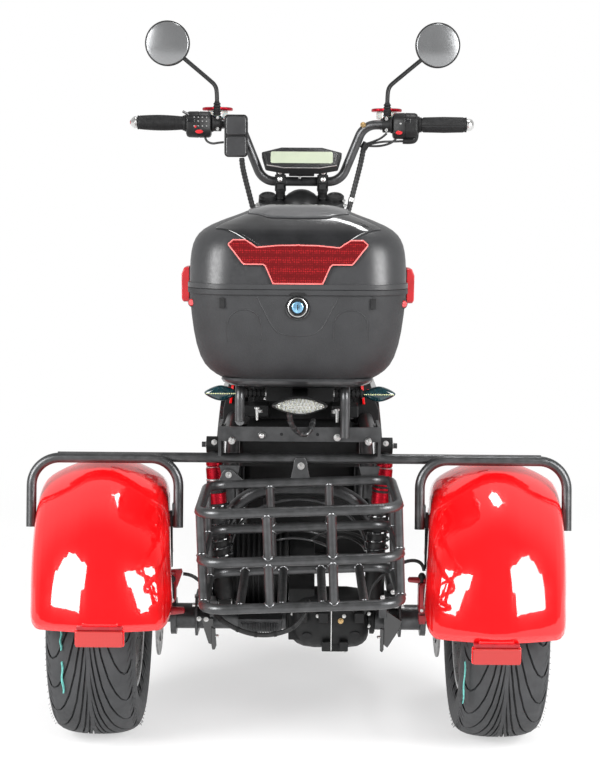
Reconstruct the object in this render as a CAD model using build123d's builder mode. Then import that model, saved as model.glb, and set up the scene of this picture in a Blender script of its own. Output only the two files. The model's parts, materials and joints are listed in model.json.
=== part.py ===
# A motorized trike: one steered wheel in front, two driven wheels behind, a saddle for two,
# a wire basket over the rear axle and a lidded top box above it.
# Millimetres. +X is the rider's right, +Y is forwards, +Z is up, and the floor is at Z = 0.
import os
from math import cos, radians, sin, tan

from build123d import *

os.makedirs("parts", exist_ok=True)

# --- driving dimensions ---------------------------------------------------------------------
wheelbase = 1290.0
rear_y = -574.25               # rear axle
front_y = rear_y + wheelbase   # front axle
sides = (-1, 1)                # rider's left and right

tyre_r = 217.0
bead_r = 127.0                 # seat of the tyre on its rim
rear_width = 160.0             # across a rear tyre
front_width = 110.0
track_x = 362.0                # a rear wheel's middle, from the trike's middle
axle_z = tyre_r

rake = 24.0                    # steering axis, degrees back from the vertical
yoke_z = 973.0                 # top yoke
stem_y = rear_y + 921.0        # steering axis at the height of the top yoke
fork_lead = 30.0               # fork legs ahead of the steering axis
leg_x = 80.0                   # fork leg, from the middle

stub_r = 12.0                  # wheel spindles
hub_gap = 0.4                  # running clearance between a spindle and its hub
disc_r = 88.0
rear_disc_x = 252.0
front_disc_x = 42.0
front_hub = 33.0               # half of the front hub's length
axle_tube_r = 23.5
axle_end_x = 236.0

fender_r = 288.0               # over the crown
fender_x = 345.0
fender_half = 117.0
fender_wall = 3.0
fender_z = 227.0               # centre of the fender's curve

guard_r = 9.0
bar_z = 526.0
hoop_z = 526.0
hoop_outer = 481.0
hoop_inner = 217.0
basket_r = 8.5
upright_r = 7.7
weld_depth = 3.0               # how far an upright's end sits inside a ring
basket_half = 165.0            # centre line of the rings, from the middle
basket_near = rear_y - 350.0
basket_far = rear_y - 80.0
ring_z = (485.0, 403.0, 325.0)

seat_rail_x = 125.0
rail_x = 140.0
frame_tube_r = 14.0
main_tube_r = 25.0

box_y = rear_y                 # middle of the top box
box_floor = 673.0
box_seam = 838.0
box_wall = 3.0
box_gap = 0.5                  # between the tub's rim and the lid
lid_lean = 13.3                # the lid's rear face, degrees from the vertical
hinge_y = box_y + 206.0        # the lid turns about a line in front of the box

clamp_y = rear_y + 930.0       # handlebar, where the risers hold it
clamp_z = 1027.0
bend_x = 146.0                 # handlebar's upper bends
bend_y = rear_y + 912.0
bar_end_x = 392.0
grip_z = 1160.0
bar_r = 11.0
sweep_back = 0.185             # how far a grip runs back for each millimetre outwards


def bar(start, end, radius, mode=Mode.ADD):
    # A straight round bar, added to the part that is being built or cut out of it.
    reach = Vector(*end) - Vector(*start)
    with BuildSketch(Plane(origin=start, z_dir=reach)) as section:
        Circle(radius)
    extrude(section.sketch, amount=reach.length, mode=mode)


def bent_tube(points, radius, bend):
    # A round tube along straight runs with filleted corners.
    with BuildLine() as run:
        FilletPolyline(*points, radius=bend)
    with BuildSketch(run.line ^ 0) as section:
        Circle(radius)
    sweep(section.sketch, path=run.line)


def block(low, high):
    # A box between two corners.
    middle = [(a + b) / 2 for a, b in zip(low, high)]
    size = [b - a for a, b in zip(low, high)]
    with Locations(tuple(middle)):
        Box(*size)


def cable(points, radius, mode=Mode.ADD):
    # A cable along straight runs, each corner as round as its two runs allow.
    runs = [Vector(*b) - Vector(*a) for a, b in zip(points, points[1:])]
    bends = []
    for before, after in zip(runs, runs[1:]):
        half_turn = radians(before.get_angle(after)) / 2
        bends.append(0.45 * min(before.length, after.length) / tan(half_turn))
    print("bends", [round(bend, 1) for bend in bends])
    with BuildLine() as run:
        FilletPolyline(*points, radius=bends)
    with BuildSketch(run.line ^ 0) as section:
        Circle(radius)
    sweep(section.sketch, path=run.line, mode=mode)


def turned(points, x, y, z):
    # A ring or a boss turned about an axle: its points are (along X, radius).
    with BuildSketch(Plane(origin=(x, y, z), x_dir=(1, 0, 0), z_dir=(0, -1, 0))) as section:
        with BuildLine():
            Polyline(*points, close=True)
        make_face()
    revolve(section.sketch, axis=Axis((x, y, z), (1, 0, 0)))


def on_stem(height, lead=0.0, x=0.0):
    # A point beside the steering axis: its height, how far it leads the axis, and its X.
    angle = radians(rake)
    return (x, stem_y + (yoke_z - height) * tan(angle) + lead / cos(angle), height)


def grip_at(x, back=0.0, up=0.0):
    # A point beside the handlebar's straight end: its X, how far behind it, and how far over it.
    return (x, bend_y - (abs(x) - bend_x) * sweep_back - back, grip_z + up)


stem_dir = (0, -sin(radians(rake)), cos(radians(rake)))
stem_plane = Plane(origin=on_stem(yoke_z), x_dir=(1, 0, 0), z_dir=stem_dir)

# --- wheels ---------------------------------------------------------------------------------
# half of a rear tyre's outline: along X, radius. The front one is narrower in proportion.
tyre_half = ((62, bead_r), (62, 134), (76, 150), (80, 172), (77, 200), (62, 212), (0, tyre_r))
rim_outer = ((67, 134), (62, 134), (62, bead_r), (44, bead_r), (36, 114))
rim_inner = ((67, 121), (42, 121), (34, 108))
spoke_count = 5

# name, X, Y, width
wheels = (
    ("front", 0.0, front_y, front_width),
    ("rear_left", -track_x, rear_y, rear_width),
    ("rear_right", track_x, rear_y, rear_width),
)
for name, x, y, width in wheels:
    share = width / rear_width
    tyre_outline = ([(-a * share, r) for a, r in tyre_half[:-1]]
                    + [(a * share, r) for a, r in reversed(tyre_half)])
    rim_outline = ([(a * share, r) for a, r in rim_outer]
                   + [(-a * share, r) for a, r in reversed(rim_outer)]
                   + [(-a * share, r) for a, r in rim_inner]
                   + [(a * share, r) for a, r in reversed(rim_inner)])
    with BuildPart() as tyre:
        turned(tyre_outline, x, y, axle_z)
    tyre.part.label = f"{name}_tyre"
    export_step(tyre.part, f"parts/{name}_tyre.step")

    outward = -1 if x < 0 else 1
    hub_in = -front_hub if name == "front" else -(track_x - rear_disc_x - 2)
    hub_out = front_hub if name == "front" else 35.0
    hub = ((hub_in, stub_r + hub_gap), (hub_in, 32), (-22, 34), (22, 40), (hub_out, 36),
           (hub_out, stub_r + hub_gap))
    spoke_x = x + outward * (0.0 if name == "front" else 12.0)
    with BuildPart() as rim:
        turned(rim_outline, x, y, axle_z)
        turned([(outward * a, r) for a, r in hub], x, y, axle_z)
        for spoke in range(spoke_count):
            turn = spoke * 360 / spoke_count
            out = (0, -sin(radians(turn)), cos(radians(turn)))
            with BuildSketch(Plane(origin=(spoke_x, y, axle_z), x_dir=(1, 0, 0), z_dir=out).offset(34)):
                Rectangle(26, 44)
            with BuildSketch(Plane(origin=(spoke_x, y, axle_z), x_dir=(1, 0, 0), z_dir=out).offset(110)):
                Rectangle(22, 30)
            loft()
    rim.part.label = f"{name}_rim"
    export_step(rim.part, f"parts/{name}_rim.step")

# Brake discs, with a ring of slots. name, X of the middle, Y
discs = (
    ("front_disc", -front_disc_x, front_y),
    ("rear_left_disc", -rear_disc_x, rear_y),
    ("rear_right_disc", rear_disc_x, rear_y),
)
for name, x, y in discs:
    with BuildPart() as disc:
        turned(((-2, 30), (2, 30), (2, disc_r), (-2, disc_r)), x, y, axle_z)
        with BuildSketch(Plane(origin=(x - 4, y, axle_z), x_dir=(0, 1, 0), z_dir=(1, 0, 0))) as windows:
            with PolarLocations(50, 6):
                SlotOverall(30, 14)
        extrude(windows.sketch, amount=8, mode=Mode.SUBTRACT)
        if name == "front_disc":
            turned(((2, 30), (9, 30), (9, 36), (2, 36)), x, y, axle_z)
    disc.part.label = name
    export_step(disc.part, f"parts/{name}.step")

# --- rear axle ------------------------------------------------------------------------------
# The tube with its end flanges, and a spindle with a nut for each wheel.
with BuildPart() as rear_axle:
    bar((-axle_end_x, rear_y, axle_z), (axle_end_x, rear_y, axle_z), axle_tube_r)
    for side in sides:
        bar((side * (axle_end_x - 10), rear_y, axle_z), (side * axle_end_x, rear_y, axle_z), 34)
        bar((side * axle_end_x, rear_y, axle_z), (side * 418, rear_y, axle_z), stub_r)
        with BuildSketch(Plane(origin=(side * 411, rear_y, axle_z), z_dir=(side, 0, 0))) as nut:
            RegularPolygon(18, 6)
        extrude(nut.sketch, amount=14)
rear_axle.part.label = "rear_axle"
export_step(rear_axle.part, "parts/rear_axle.step")

# Differential: a bell round the axle with a bolted flange, a ribbed cover and a drain boss.
diff_x = 60.0
with BuildPart() as differential:
    turned(((-72, 26), (-72, 40), (-40, 62), (-8, 64), (-8, 24), (-72, 24)), diff_x, rear_y, axle_z)
    turned(((8, 24), (8, 64), (30, 60), (55, 42), (73, 36), (73, 24)), diff_x, rear_y, axle_z)
    turned(((-8, 24), (-8, 72), (8, 72), (8, 24)), diff_x, rear_y, axle_z)
    for angle in range(0, 360, 45):
        bolt_y = rear_y + 66 * cos(radians(angle))
        bolt_z = axle_z + 66 * sin(radians(angle))
        bar((diff_x - 14, bolt_y, bolt_z), (diff_x + 14, bolt_y, bolt_z), 5)
    block((diff_x - 18, rear_y - 20, 136), (diff_x + 30, rear_y + 20, 158))
    # the reduction case that leads up to the motor
    with BuildSketch(Plane(origin=(-18, rear_y, axle_z), x_dir=(0, 1, 0), z_dir=(1, 0, 0))) as case:
        with BuildLine():
            Polyline((-40, -34), (60, -34), (150, 20), (150, 118), (70, 140), (-30, 60), close=True)
        make_face()
    extrude(case.sketch, amount=48)
    bar((-40, rear_y, axle_z), (140, rear_y, axle_z), axle_tube_r + 0.2)
    bar((18, rear_y - 58, 262), (18, rear_y - 25, 262), 7)
    with BuildSketch(Plane(origin=(-40, rear_y, axle_z), z_dir=(1, 0, 0))) as through:
        Circle(axle_tube_r)
    extrude(through.sketch, amount=200, mode=Mode.SUBTRACT)
differential.part.label = "differential"
export_step(differential.part, "parts/differential.step")

# Electric motor: a finned drum beside the reduction case.
motor_r = 86.0
motor_y = rear_y + 86.0
motor_z = 290.0
with BuildPart() as motor:
    bar((-132, motor_y, motor_z), (-19, motor_y, motor_z), motor_r - 8)
    for fin in range(9):
        fin_x = -122 + fin * 11
        bar((fin_x, motor_y, motor_z), (fin_x + 5, motor_y, motor_z), motor_r)
    bar((-142, motor_y, motor_z), (-132, motor_y, motor_z), 58)
motor.part.label = "motor"
export_step(motor.part, "parts/motor.step")

# Trailing arms from the pivot to the axle, with two clamp plates a side and the shocks' lower lugs.
arm_x = 175.0
pivot_y = rear_y + 340.0
pivot_z = 250.0
plate_points = ((-42, 20), (-30, 44), (30, 44), (46, 20), (46, -16), (8, -59), (-42, -16))
with BuildPart() as swing_frame:
    for side in sides:
        bent_tube(((side * arm_x, rear_y + 10, axle_z + 52), (side * arm_x, rear_y + 120, axle_z + 52),
                   (side * arm_x, pivot_y, pivot_z)), 11, 60)
        for plate_x in (arm_x - 14, arm_x + 10):
            low_x = side * plate_x if side > 0 else side * (plate_x + 5)
            with BuildSketch(Plane(origin=(low_x, rear_y, axle_z), x_dir=(0, 1, 0), z_dir=(1, 0, 0))) as plate:
                with BuildLine():
                    Polyline(*plate_points, close=True)
                make_face()
                fillet(plate.vertices(), 6)
                Circle(axle_tube_r, mode=Mode.SUBTRACT)
            extrude(plate.sketch, amount=5)
        block((min(side * 161, side * 190), rear_y - 20, axle_z + 38),
              (max(side * 161, side * 190), rear_y + 24, axle_z + 44))
        block((min(side * 147, side * 162), rear_y - 62, axle_z + 14),
              (max(side * 147, side * 162), rear_y - 22, axle_z + 44))
    bar((-155, rear_y - 66, 246), (-155, rear_y - 60, 246), 7)
    bar((-arm_x, pivot_y, pivot_z), (arm_x, pivot_y, pivot_z), 12)
swing_frame.part.label = "swing_frame"
export_step(swing_frame.part, "parts/swing_frame.step")

# Coil-over shocks: a lower canister, a spring and an upper cylinder between two eyes.
shock_low = (134.0, rear_y - 44.0, 256.0)
shock_high = (158.5, rear_y - 30.0, 545.0)
with BuildPart() as rear_shocks:
    for side in sides:
        low = Vector(side * shock_low[0], shock_low[1], shock_low[2])
        high = Vector(side * shock_high[0], shock_high[1], shock_high[2])
        # share of the length: from, to, radius
        for start, end, radius in ((0.05, 0.30, 13), (0.28, 0.31, 19), (0.31, 0.62, 17), (0.62, 0.80, 16),
                                   (0.78, 0.96, 12)):
            bar(tuple(low + (high - low) * start), tuple(low + (high - low) * end), radius)
        for eye in (low, high):
            bar((eye.X - 11, eye.Y, eye.Z), (eye.X + 11, eye.Y, eye.Z), 15)
            bar((eye.X - 11, eye.Y, eye.Z), (eye.X + 11, eye.Y, eye.Z), 5.4, Mode.SUBTRACT)
rear_shocks.part.label = "rear_shocks"
export_step(rear_shocks.part, "parts/rear_shocks.step")

# Calipers over the rear discs, each on a bracket from the axle's flange.
with BuildPart() as brake_calipers:
    for side in sides:
        xs = sorted((side * 210, side * 270))
        slot = sorted((side * (rear_disc_x - 7), side * (rear_disc_x + 7)))
        block((xs[0], rear_y - 92, 244), (xs[1], rear_y - 48, 322))
        block((slot[0], rear_y - 84, 230), (slot[1], rear_y - 30, 312))
        with BuildSketch(Plane(origin=(slot[0], rear_y, axle_z), z_dir=(1, 0, 0))) as swept_disc:
            Circle(disc_r + 5)
        extrude(swept_disc.sketch, amount=slot[1] - slot[0], mode=Mode.SUBTRACT)
        bracket = sorted((side * 218, side * 226))
        block((bracket[0], rear_y - 70, 206), (bracket[1], rear_y - 25, 262))
brake_calipers.part.label = "brake_calipers"
export_step(brake_calipers.part, "parts/brake_calipers.step")

# --- fenders and guard ----------------------------------------------------------------------
fender_edge_r = 196.0
fender_front = 80.0           # degrees of the arc ahead of the crown
# degrees behind it, height of the reflector's foot and how far back its tab stands, for each side
fender_tails = ((81.0, 238.0, 279.6), (85.0, 214.0, 283.2))


def fender_section(half, crown):
    # The domed outline of a fender's skin, closed along its lower edge.
    with BuildLine() as outline:
        left = Line((-half, fender_edge_r), (-half, crown - 60))
        corner = ThreePointArc(left @ 1, (-half + 9, crown - 40), (-half + 27, crown - 27))
        middle = ThreePointArc(corner @ 1, (0, crown), (half - 27, crown - 27))
        other = ThreePointArc(middle @ 1, (half - 9, crown - 40), (half, crown - 60))
        right = Line(other @ 1, (half, fender_edge_r))
        Line(right @ 1, left @ 0)
    return outline.line


for name, side, (tail, _, _) in (("fender_left", -1, fender_tails[0]), ("fender_right", 1, fender_tails[1])):
    centre = (side * fender_x, rear_y, fender_z)
    with BuildPart() as fender:
        with BuildSketch(Plane(origin=centre, x_dir=(1, 0, 0), z_dir=(0, -1, 0))) as skin:
            with BuildLine():
                add(fender_section(fender_half, fender_r))
            make_face()
            with BuildLine():
                add(fender_section(fender_half - fender_wall, fender_r - fender_wall))
            make_face(mode=Mode.SUBTRACT)
        revolve(skin.sketch, axis=Axis(centre, (1, 0, 0)), revolution_arc=tail)
        revolve(skin.sketch, axis=Axis(centre, (1, 0, 0)), revolution_arc=-fender_front)
    fender.part.label = name
    export_step(fender.part, f"parts/{name}.step")

# Reflectors under the fenders' rear edges, each on a tab.
with BuildPart() as fender_reflectors:
    for side, (_, foot, back) in zip(sides, fender_tails):
        block((side * fender_x - 40, rear_y - 289, foot), (side * fender_x + 40, rear_y - back + 2, foot + 30))
        block((side * fender_x - 14, rear_y - back, foot + 10), (side * fender_x + 14, rear_y - back + 4, foot + 43))
fender_reflectors.part.label = "fender_reflectors"
export_step(fender_reflectors.part, "parts/fender_reflectors.step")

# A bar across the trike with a hoop round each fender.
hoop_y = rear_y - 76.0
cross_y = rear_y - 63.0
hoop_foot = 403.0
with BuildPart() as guard_bar:
    bar((-436, cross_y, bar_z), (436, cross_y, bar_z), guard_r)
    for side in sides:
        bent_tube(((side * hoop_outer, hoop_y - 16, hoop_foot), (side * hoop_outer, hoop_y, hoop_z),
                   (side * hoop_inner, hoop_y, hoop_z), (side * hoop_inner, hoop_y - 16, hoop_foot)),
                  guard_r, 50)
        # a strap from the inner leg to the fender
        xs = sorted((side * (hoop_inner + 5), side * (fender_x - fender_half - 0.4)))
        block((xs[0], hoop_y - 18, 425), (xs[1], hoop_y - 2, 446))
guard_bar.part.label = "guard_bar"
export_step(guard_bar.part, "parts/guard_bar.step")

# Wire basket: three rings, uprights, floor bars, and lugs that bolt it to the guard bar.
basket_y = (basket_near + basket_far) / 2
upright_x = 53.0
lug_face = cross_y - guard_r - 0.3
basket_lean = radians(2.3)      # it hangs a little askew


def askew(x, y, z):
    up = z - ring_z[0]
    return (x * cos(basket_lean) - up * sin(basket_lean), y,
            ring_z[0] + x * sin(basket_lean) + up * cos(basket_lean))


floor_x = (-103.0, -34.0, 34.0, 103.0)
with BuildPart() as basket:
    for height in ring_z:
        for end in (basket_near, basket_far):
            bent_tube([askew(*point) for point in (
                (-basket_half, basket_y, height), (-basket_half, end, height),
                (basket_half, end, height), (basket_half, basket_y, height))], basket_r, 38)
    posts = [(x, y) for x in (-upright_x, upright_x) for y in (basket_near, basket_far)]
    posts += [(side * basket_half, y) for side in sides for y in (basket_near + 45, basket_far - 45)]
    for high, low in zip(ring_z, ring_z[1:]):
        for x, y in posts:
            bar(askew(x, y, low + weld_depth), askew(x, y, high - weld_depth), upright_r)
    for x in floor_x:
        bar(askew(x, basket_near + weld_depth, ring_z[2]), askew(x, basket_far - weld_depth, ring_z[2]), upright_r)
    # a lug in the middle and one at each side, up against the guard bar
    for middle, half in ((-118, 22), (0, 12), (118, 22)):
        block((middle - half, basket_far - 3, ring_z[0] - 2), (middle + half, lug_face, bar_z + guard_r))
basket.part.label = "basket"
export_step(basket.part, "parts/basket.step")

# --- main frame -----------------------------------------------------------------------------
head_low = on_stem(800)
head_high = on_stem(925)
deck_z = 285.0
rail_front = rear_y + 965.0
with BuildPart() as head_tube:
    bar(head_low, head_high, 30)
    bent_tube(((0, rear_y + 968, 862), (0, rear_y + 915, 700), (0, rear_y + 905, 420),
               (0, rear_y + 866, deck_z + 19.8)), main_tube_r, 60)
    with BuildSketch(Plane(origin=on_stem(790), z_dir=stem_dir)) as bore:
        Circle(20)
    extrude(bore.sketch, amount=170, mode=Mode.SUBTRACT)
head_tube.part.label = "head_tube"
export_step(head_tube.part, "parts/head_tube.step")

# One lower loop that rises behind the battery, the saddle rails, and smaller tubes between them.
loop_r = 13.0
brace_r = 11.5
loop_side = ((seat_rail_x + 1, rear_y + 192, 568), (rail_x, rear_y + 250, 420),
             (rail_x, rear_y + 330, deck_z), (rail_x, rail_front - 40, deck_z), (60, rail_front, deck_z))
brace_x = rail_x - 5.0
with BuildPart() as main_frame:
    bent_tube([*loop_side, *[(-x, y, z) for x, y, z in reversed(loop_side)]], loop_r, 40)
    for side in sides:
        bar((side * seat_rail_x, rear_y + 600, 574), (side * seat_rail_x, rear_y - 100.5, 574),
            frame_tube_r)
        bar((side * brace_x, rear_y + 620, deck_z + 4), (side * (seat_rail_x - 1), rear_y + 585, 568),
            brace_r)
        # ears for the swing frame's pivot
        xs = sorted((side * rail_x, side * 158))
        block((xs[0], pivot_y - 24, 234), (xs[1], pivot_y + 24, 285))
    bar((-158, pivot_y, pivot_z), (158, pivot_y, pivot_z), 12.3, Mode.SUBTRACT)
    for y in (rear_y + 860, rear_y + 640, rear_y + 400):
        bar((-brace_x, y, deck_z), (brace_x, y, deck_z), brace_r)
    for y in (rear_y + 500, rear_y + 205):
        bar((5 - seat_rail_x, y, 572), (seat_rail_x - 5, y, 572), brace_r)
main_frame.part.label = "main_frame"
export_step(main_frame.part, "parts/main_frame.step")

# The plate across the frame's tail, with its bolts and the shocks' upper brackets.
with BuildPart() as rear_crossplate:
    block((-144.5, rear_y - 106, 563), (144.5, rear_y - 101, 589))
    for side in sides:
        bar((side * 32, rear_y - 107, 576), (side * 32, rear_y - 100, 576), 2.6, Mode.SUBTRACT)
    bar((-67, rear_y - 112, 574), (-67, rear_y - 100, 574), 6)
    for side in sides:
        xs = sorted((side * 139.5, side * 144.5))
        block((xs[0], rear_y - 106, bar_z + guard_r + 0.3), (xs[1], rear_y - 10, 589))
        block((xs[0], rear_y - 50, 528), (xs[1], rear_y - 10, 542))
        bar((side * 139.5, shock_high[1], shock_high[2]), (side * 178, shock_high[1], shock_high[2]), 5)
rear_crossplate.part.label = "rear_crossplate"
export_step(rear_crossplate.part, "parts/rear_crossplate.step")

# A hoop over the motor, standing beside the axle's clamp plates.
with BuildPart() as motor_hoop:
    bent_tube(((-148, rear_y + 12, 246), (-148, rear_y + 12, 488), (148, rear_y + 12, 488),
               (148, rear_y + 12, 246)), 12.5, 76)
motor_hoop.part.label = "motor_hoop"
export_step(motor_hoop.part, "parts/motor_hoop.step")

# Controller case under the tail, ahead of the cross plate.
with BuildPart() as controller_case:
    with BuildSketch(Plane(origin=(0, rear_y + 60, 506), x_dir=(1, 0, 0), z_dir=(0, 0, 1))) as case:
        RectangleRounded(221, 190, 10)
    extrude(case.sketch, amount=56)
controller_case.part.label = "controller_case"
export_step(controller_case.part, "parts/controller_case.step")

# --- battery box, covers, deck and seats ----------------------------------------------------
with BuildPart() as battery_box:
    with BuildSketch(Plane.XY.offset(297)) as plan:
        with Locations((0, rear_y + 465)):
            RectangleRounded(226, 250, 14)
    extrude(plan.sketch, amount=255)
battery_box.part.label = "battery_box"
export_step(battery_box.part, "parts/battery_box.step")

# Side covers, one to a side, wider at the foot.
with BuildPart() as side_covers:
    for side in sides:
        with BuildSketch(Plane.XY.offset(345)) as foot:
            with Locations((side * 163, rear_y + 430)):
                Rectangle(10, 330)
        with BuildSketch(Plane.XY.offset(520)) as middle:
            with Locations((side * 158, rear_y + 400)):
                Rectangle(10, 380)
        with BuildSketch(Plane.XY.offset(622)) as head:
            with Locations((side * 146, rear_y + 400)):
                Rectangle(10, 400)
        loft()
side_covers.part.label = "side_covers"
export_step(side_covers.part, "parts/side_covers.step")

# Deck: a floor panel with a slot for the down tube.
with BuildPart() as deck:
    with BuildSketch(Plane.XY.offset(deck_z + frame_tube_r + 0.5)) as floor:
        with Locations((0, rear_y + 775)):
            RectangleRounded(390, 268, 40)
        with Locations((0, rear_y + 870)):
            Rectangle(68, 100, mode=Mode.SUBTRACT)
    extrude(floor.sketch, amount=14)
deck.part.label = "deck"
export_step(deck.part, "parts/deck.step")

# The panel between the deck and the saddle.
with BuildPart() as front_panel:
    with BuildSketch(Plane(origin=(0, rear_y + 637, deck_z + 16), x_dir=(1, 0, 0), z_dir=(0, 1, 0))) as face:
        with BuildLine():
            Polyline((-158, 0), (158, 0), (140, -286.8), (-140, -286.8), close=True)
        make_face()
    extrude(face.sketch, amount=4)
front_panel.part.label = "front_panel"
export_step(front_panel.part, "parts/front_panel.step")


def cushion(low, high):
    # A saddle's plain solid: a block with rounded corners.
    width = high[0] - low[0]
    length = high[1] - low[1]
    with BuildSketch(Plane.XY.offset(low[2])) as plan:
        with Locations(((low[0] + high[0]) / 2, (low[1] + high[1]) / 2)):
            RectangleRounded(width, length, min(width, length) * 0.3)
    extrude(plan.sketch, amount=high[2] - low[2])


with BuildPart() as driver_seat:
    cushion((-150, rear_y + 452, 624), (150, rear_y + 770, 704))
    fillet(driver_seat.faces().sort_by(Axis.Z)[-1].edges(), 24)
driver_seat.part.label = "driver_seat"
export_step(driver_seat.part, "parts/driver_seat.step")

with BuildPart() as passenger_seat:
    cushion((-132, rear_y + 206, 646), (132, rear_y + 448, 716))
    fillet(passenger_seat.faces().sort_by(Axis.Z)[-1].edges(), 22)
passenger_seat.part.label = "passenger_seat"
export_step(passenger_seat.part, "parts/passenger_seat.step")

# Seat base: the pan under both cushions, on the saddle rails.
with BuildPart() as seat_pan:
    block((-128, rear_y + 200, 588.4), (128, rear_y + 448, 645.5))
    block((-140, rear_y + 448, 588.4), (140, rear_y + 750, 623.5))
seat_pan.part.label = "seat_pan"
export_step(seat_pan.part, "parts/seat_pan.step")

# --- rack and top box -----------------------------------------------------------------------
rack_z = 662.0
# X of a tube, height of its foot, how far its foot runs forwards over the tail plate
rack_tubes = ((-106, 597, 30), (80, 572, 0))
with BuildPart() as rear_rack:
    for x, foot, reach in rack_tubes:
        low_end = ((x, rear_y - 115, foot + 30), (x, rear_y - 115, foot))
        if reach:
            low_end = ((x + 8, rear_y - 115 + reach, foot + 2), (x, rear_y - 115, foot + 4))
        bent_tube(((x, rear_y + 110, 600), (x, rear_y + 60, rack_z), (x, rear_y - 115, rack_z),
                   (low_end[-1])), 8.5, 24)
        if reach:
            bar(low_end[-1], low_end[0], 8.5)
    for y in (rear_y - 60, rear_y):
        bar((rack_tubes[0][0], y, rack_z), (rack_tubes[1][0], y, rack_z), 8)
rear_rack.part.label = "rear_rack"
export_step(rear_rack.part, "parts/rear_rack.step")

# Tub and lid: each is a loft of rounded rectangles with the inside taken out, and a proud rim.
# height, half width, half length, corner radius
tub_sections = ((box_floor + 0.5, 138, 146, 58), (690, 158, 164, 68), (710, 177, 178, 74),
                (777, 190, 189, 77), (box_seam, 195, 195, 78))
lid_sections = ((box_seam + box_gap, 195, 195, 78), (885, 194.5, 184, 78), (923, 185, 175, 74),
                (949, 146, 148, 64), (970, 95, 116, 50), (979.5, 45, 78, 30))
rim_half = 198.0
rim_tall = 9.0


def shell(sections, wall, floor_up):
    # A loft through rounded rectangles, hollow, open at one end.
    for inset, mode in ((0.0, Mode.ADD), (wall, Mode.SUBTRACT)):
        rings = []
        for height, half_x, half_y, corner in sections:
            lift = floor_up * wall if mode == Mode.SUBTRACT and height == sections[0][0] else 0.0
            drop = (1 - floor_up) * wall if mode == Mode.SUBTRACT and height == sections[-1][0] else 0.0
            with BuildSketch(Plane.XY.offset(height + lift - drop)) as ring:
                with Locations((0, box_y)):
                    RectangleRounded(2 * (half_x - inset), 2 * (half_y - inset), corner - inset)
            rings.append(ring.sketch)
        loft(rings, ruled=True, mode=mode)


def rim(base):
    # The band round a shell's open edge.
    with BuildSketch(Plane.XY.offset(base)) as band:
        with Locations((0, box_y)):
            RectangleRounded(2 * rim_half, 2 * rim_half, 80)
            RectangleRounded(2 * (rim_half - 5), 2 * (rim_half - 5), 75, mode=Mode.SUBTRACT)
    extrude(band.sketch, amount=rim_tall)


# Hinge knuckles: the tub's pair stands each side of the lid's one, on a pin.
hinge_x = 72.0
knuckle_r = 6.0
pin_r = 2.6


def knuckle(middle, half, leaf_low, leaf_high):
    # A knuckle along X, with the leaf that joins it to the rim.
    bar((middle - half, hinge_y, box_seam), (middle + half, hinge_y, box_seam), knuckle_r)
    block((middle - half, box_y + rim_half - 2, leaf_low), (middle + half, hinge_y, leaf_high))


with BuildPart() as box_tub:
    shell(tub_sections, box_wall, 1)
    rim(box_seam - rim_tall)
    # the plate that stands on the rack
    block((-125, box_y - 130, rack_z + 8.8), (125, box_y + 110, box_floor + 1.5))
    for side in sides:
        for offset in (-17.0, 17.0):
            knuckle(side * hinge_x + offset, 6.0, box_seam - 8, box_seam - 0.3)
        bar((side * hinge_x - 20, hinge_y, box_seam), (side * hinge_x + 20, hinge_y, box_seam), pin_r)
box_tub.part.label = "box_tub"
export_step(box_tub.part, "parts/box_tub.step")

with BuildPart() as box_lid:
    shell(lid_sections, box_wall, 0)
    rim(box_seam + box_gap)
    for side in sides:
        knuckle(side * hinge_x, 10.5, box_seam + box_gap, box_seam + 8)
        bar((side * hinge_x - 12, hinge_y, box_seam), (side * hinge_x + 12, hinge_y, box_seam), pin_r + 0.3,
            Mode.SUBTRACT)
box_lid.part.label = "box_lid"
export_step(box_lid.part, "parts/box_lid.step")

# Lock on the tub, and the clips that hold the lid at its sides.
lock_z = 808.0
with BuildPart() as box_lock:
    bar((0, box_y - 203, lock_z), (0, box_y - 193.7, lock_z), 12)
box_lock.part.label = "box_lock"
export_step(box_lock.part, "parts/box_lock.step")

with BuildPart() as box_clips:
    for side in sides:
        xs = sorted((side * (rim_half + 0.5), side * 212))
        block((xs[0], box_y - 70, 812), (xs[1], box_y - 20, 866))
box_clips.part.label = "box_clips"
export_step(box_clips.part, "parts/box_clips.step")

# Rear reflector, lying on the lid's leaning face. Half of its outline: X, height up the face
lens_half = ((44, 3), (58, 41), (96, 41), (122, 76), (92, 80), (72, 68))
lens_plane = Plane(origin=(0, box_y - 195.3, box_seam + rim_tall + box_gap), x_dir=(1, 0, 0),
                   z_dir=(0, -cos(radians(lid_lean)), sin(radians(lid_lean))))
with BuildPart() as box_reflector:
    with BuildSketch(lens_plane) as lens:
        with BuildLine():
            Polyline(*lens_half, *[(-x, up) for x, up in reversed(lens_half)], close=True)
        make_face()
    extrude(lens.sketch, amount=5)
box_reflector.part.label = "box_reflector"
export_step(box_reflector.part, "parts/box_reflector.step")

# --- lamps at the rear ----------------------------------------------------------------------
signal_z = 636.0
bracket_x = 62.0
with BuildPart() as tail_lamp:
    with BuildSketch(Plane(origin=(0, rear_y - 188, 639), x_dir=(1, 0, 0), z_dir=(0, -1, 0))) as lens:
        Ellipse(45, 12)
    extrude(lens.sketch, amount=22)
    block((-14, rear_y - 189, 632), (14, rear_y - 12.3, 646))
tail_lamp.part.label = "tail_lamp"
export_step(tail_lamp.part, "parts/tail_lamp.step")

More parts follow.
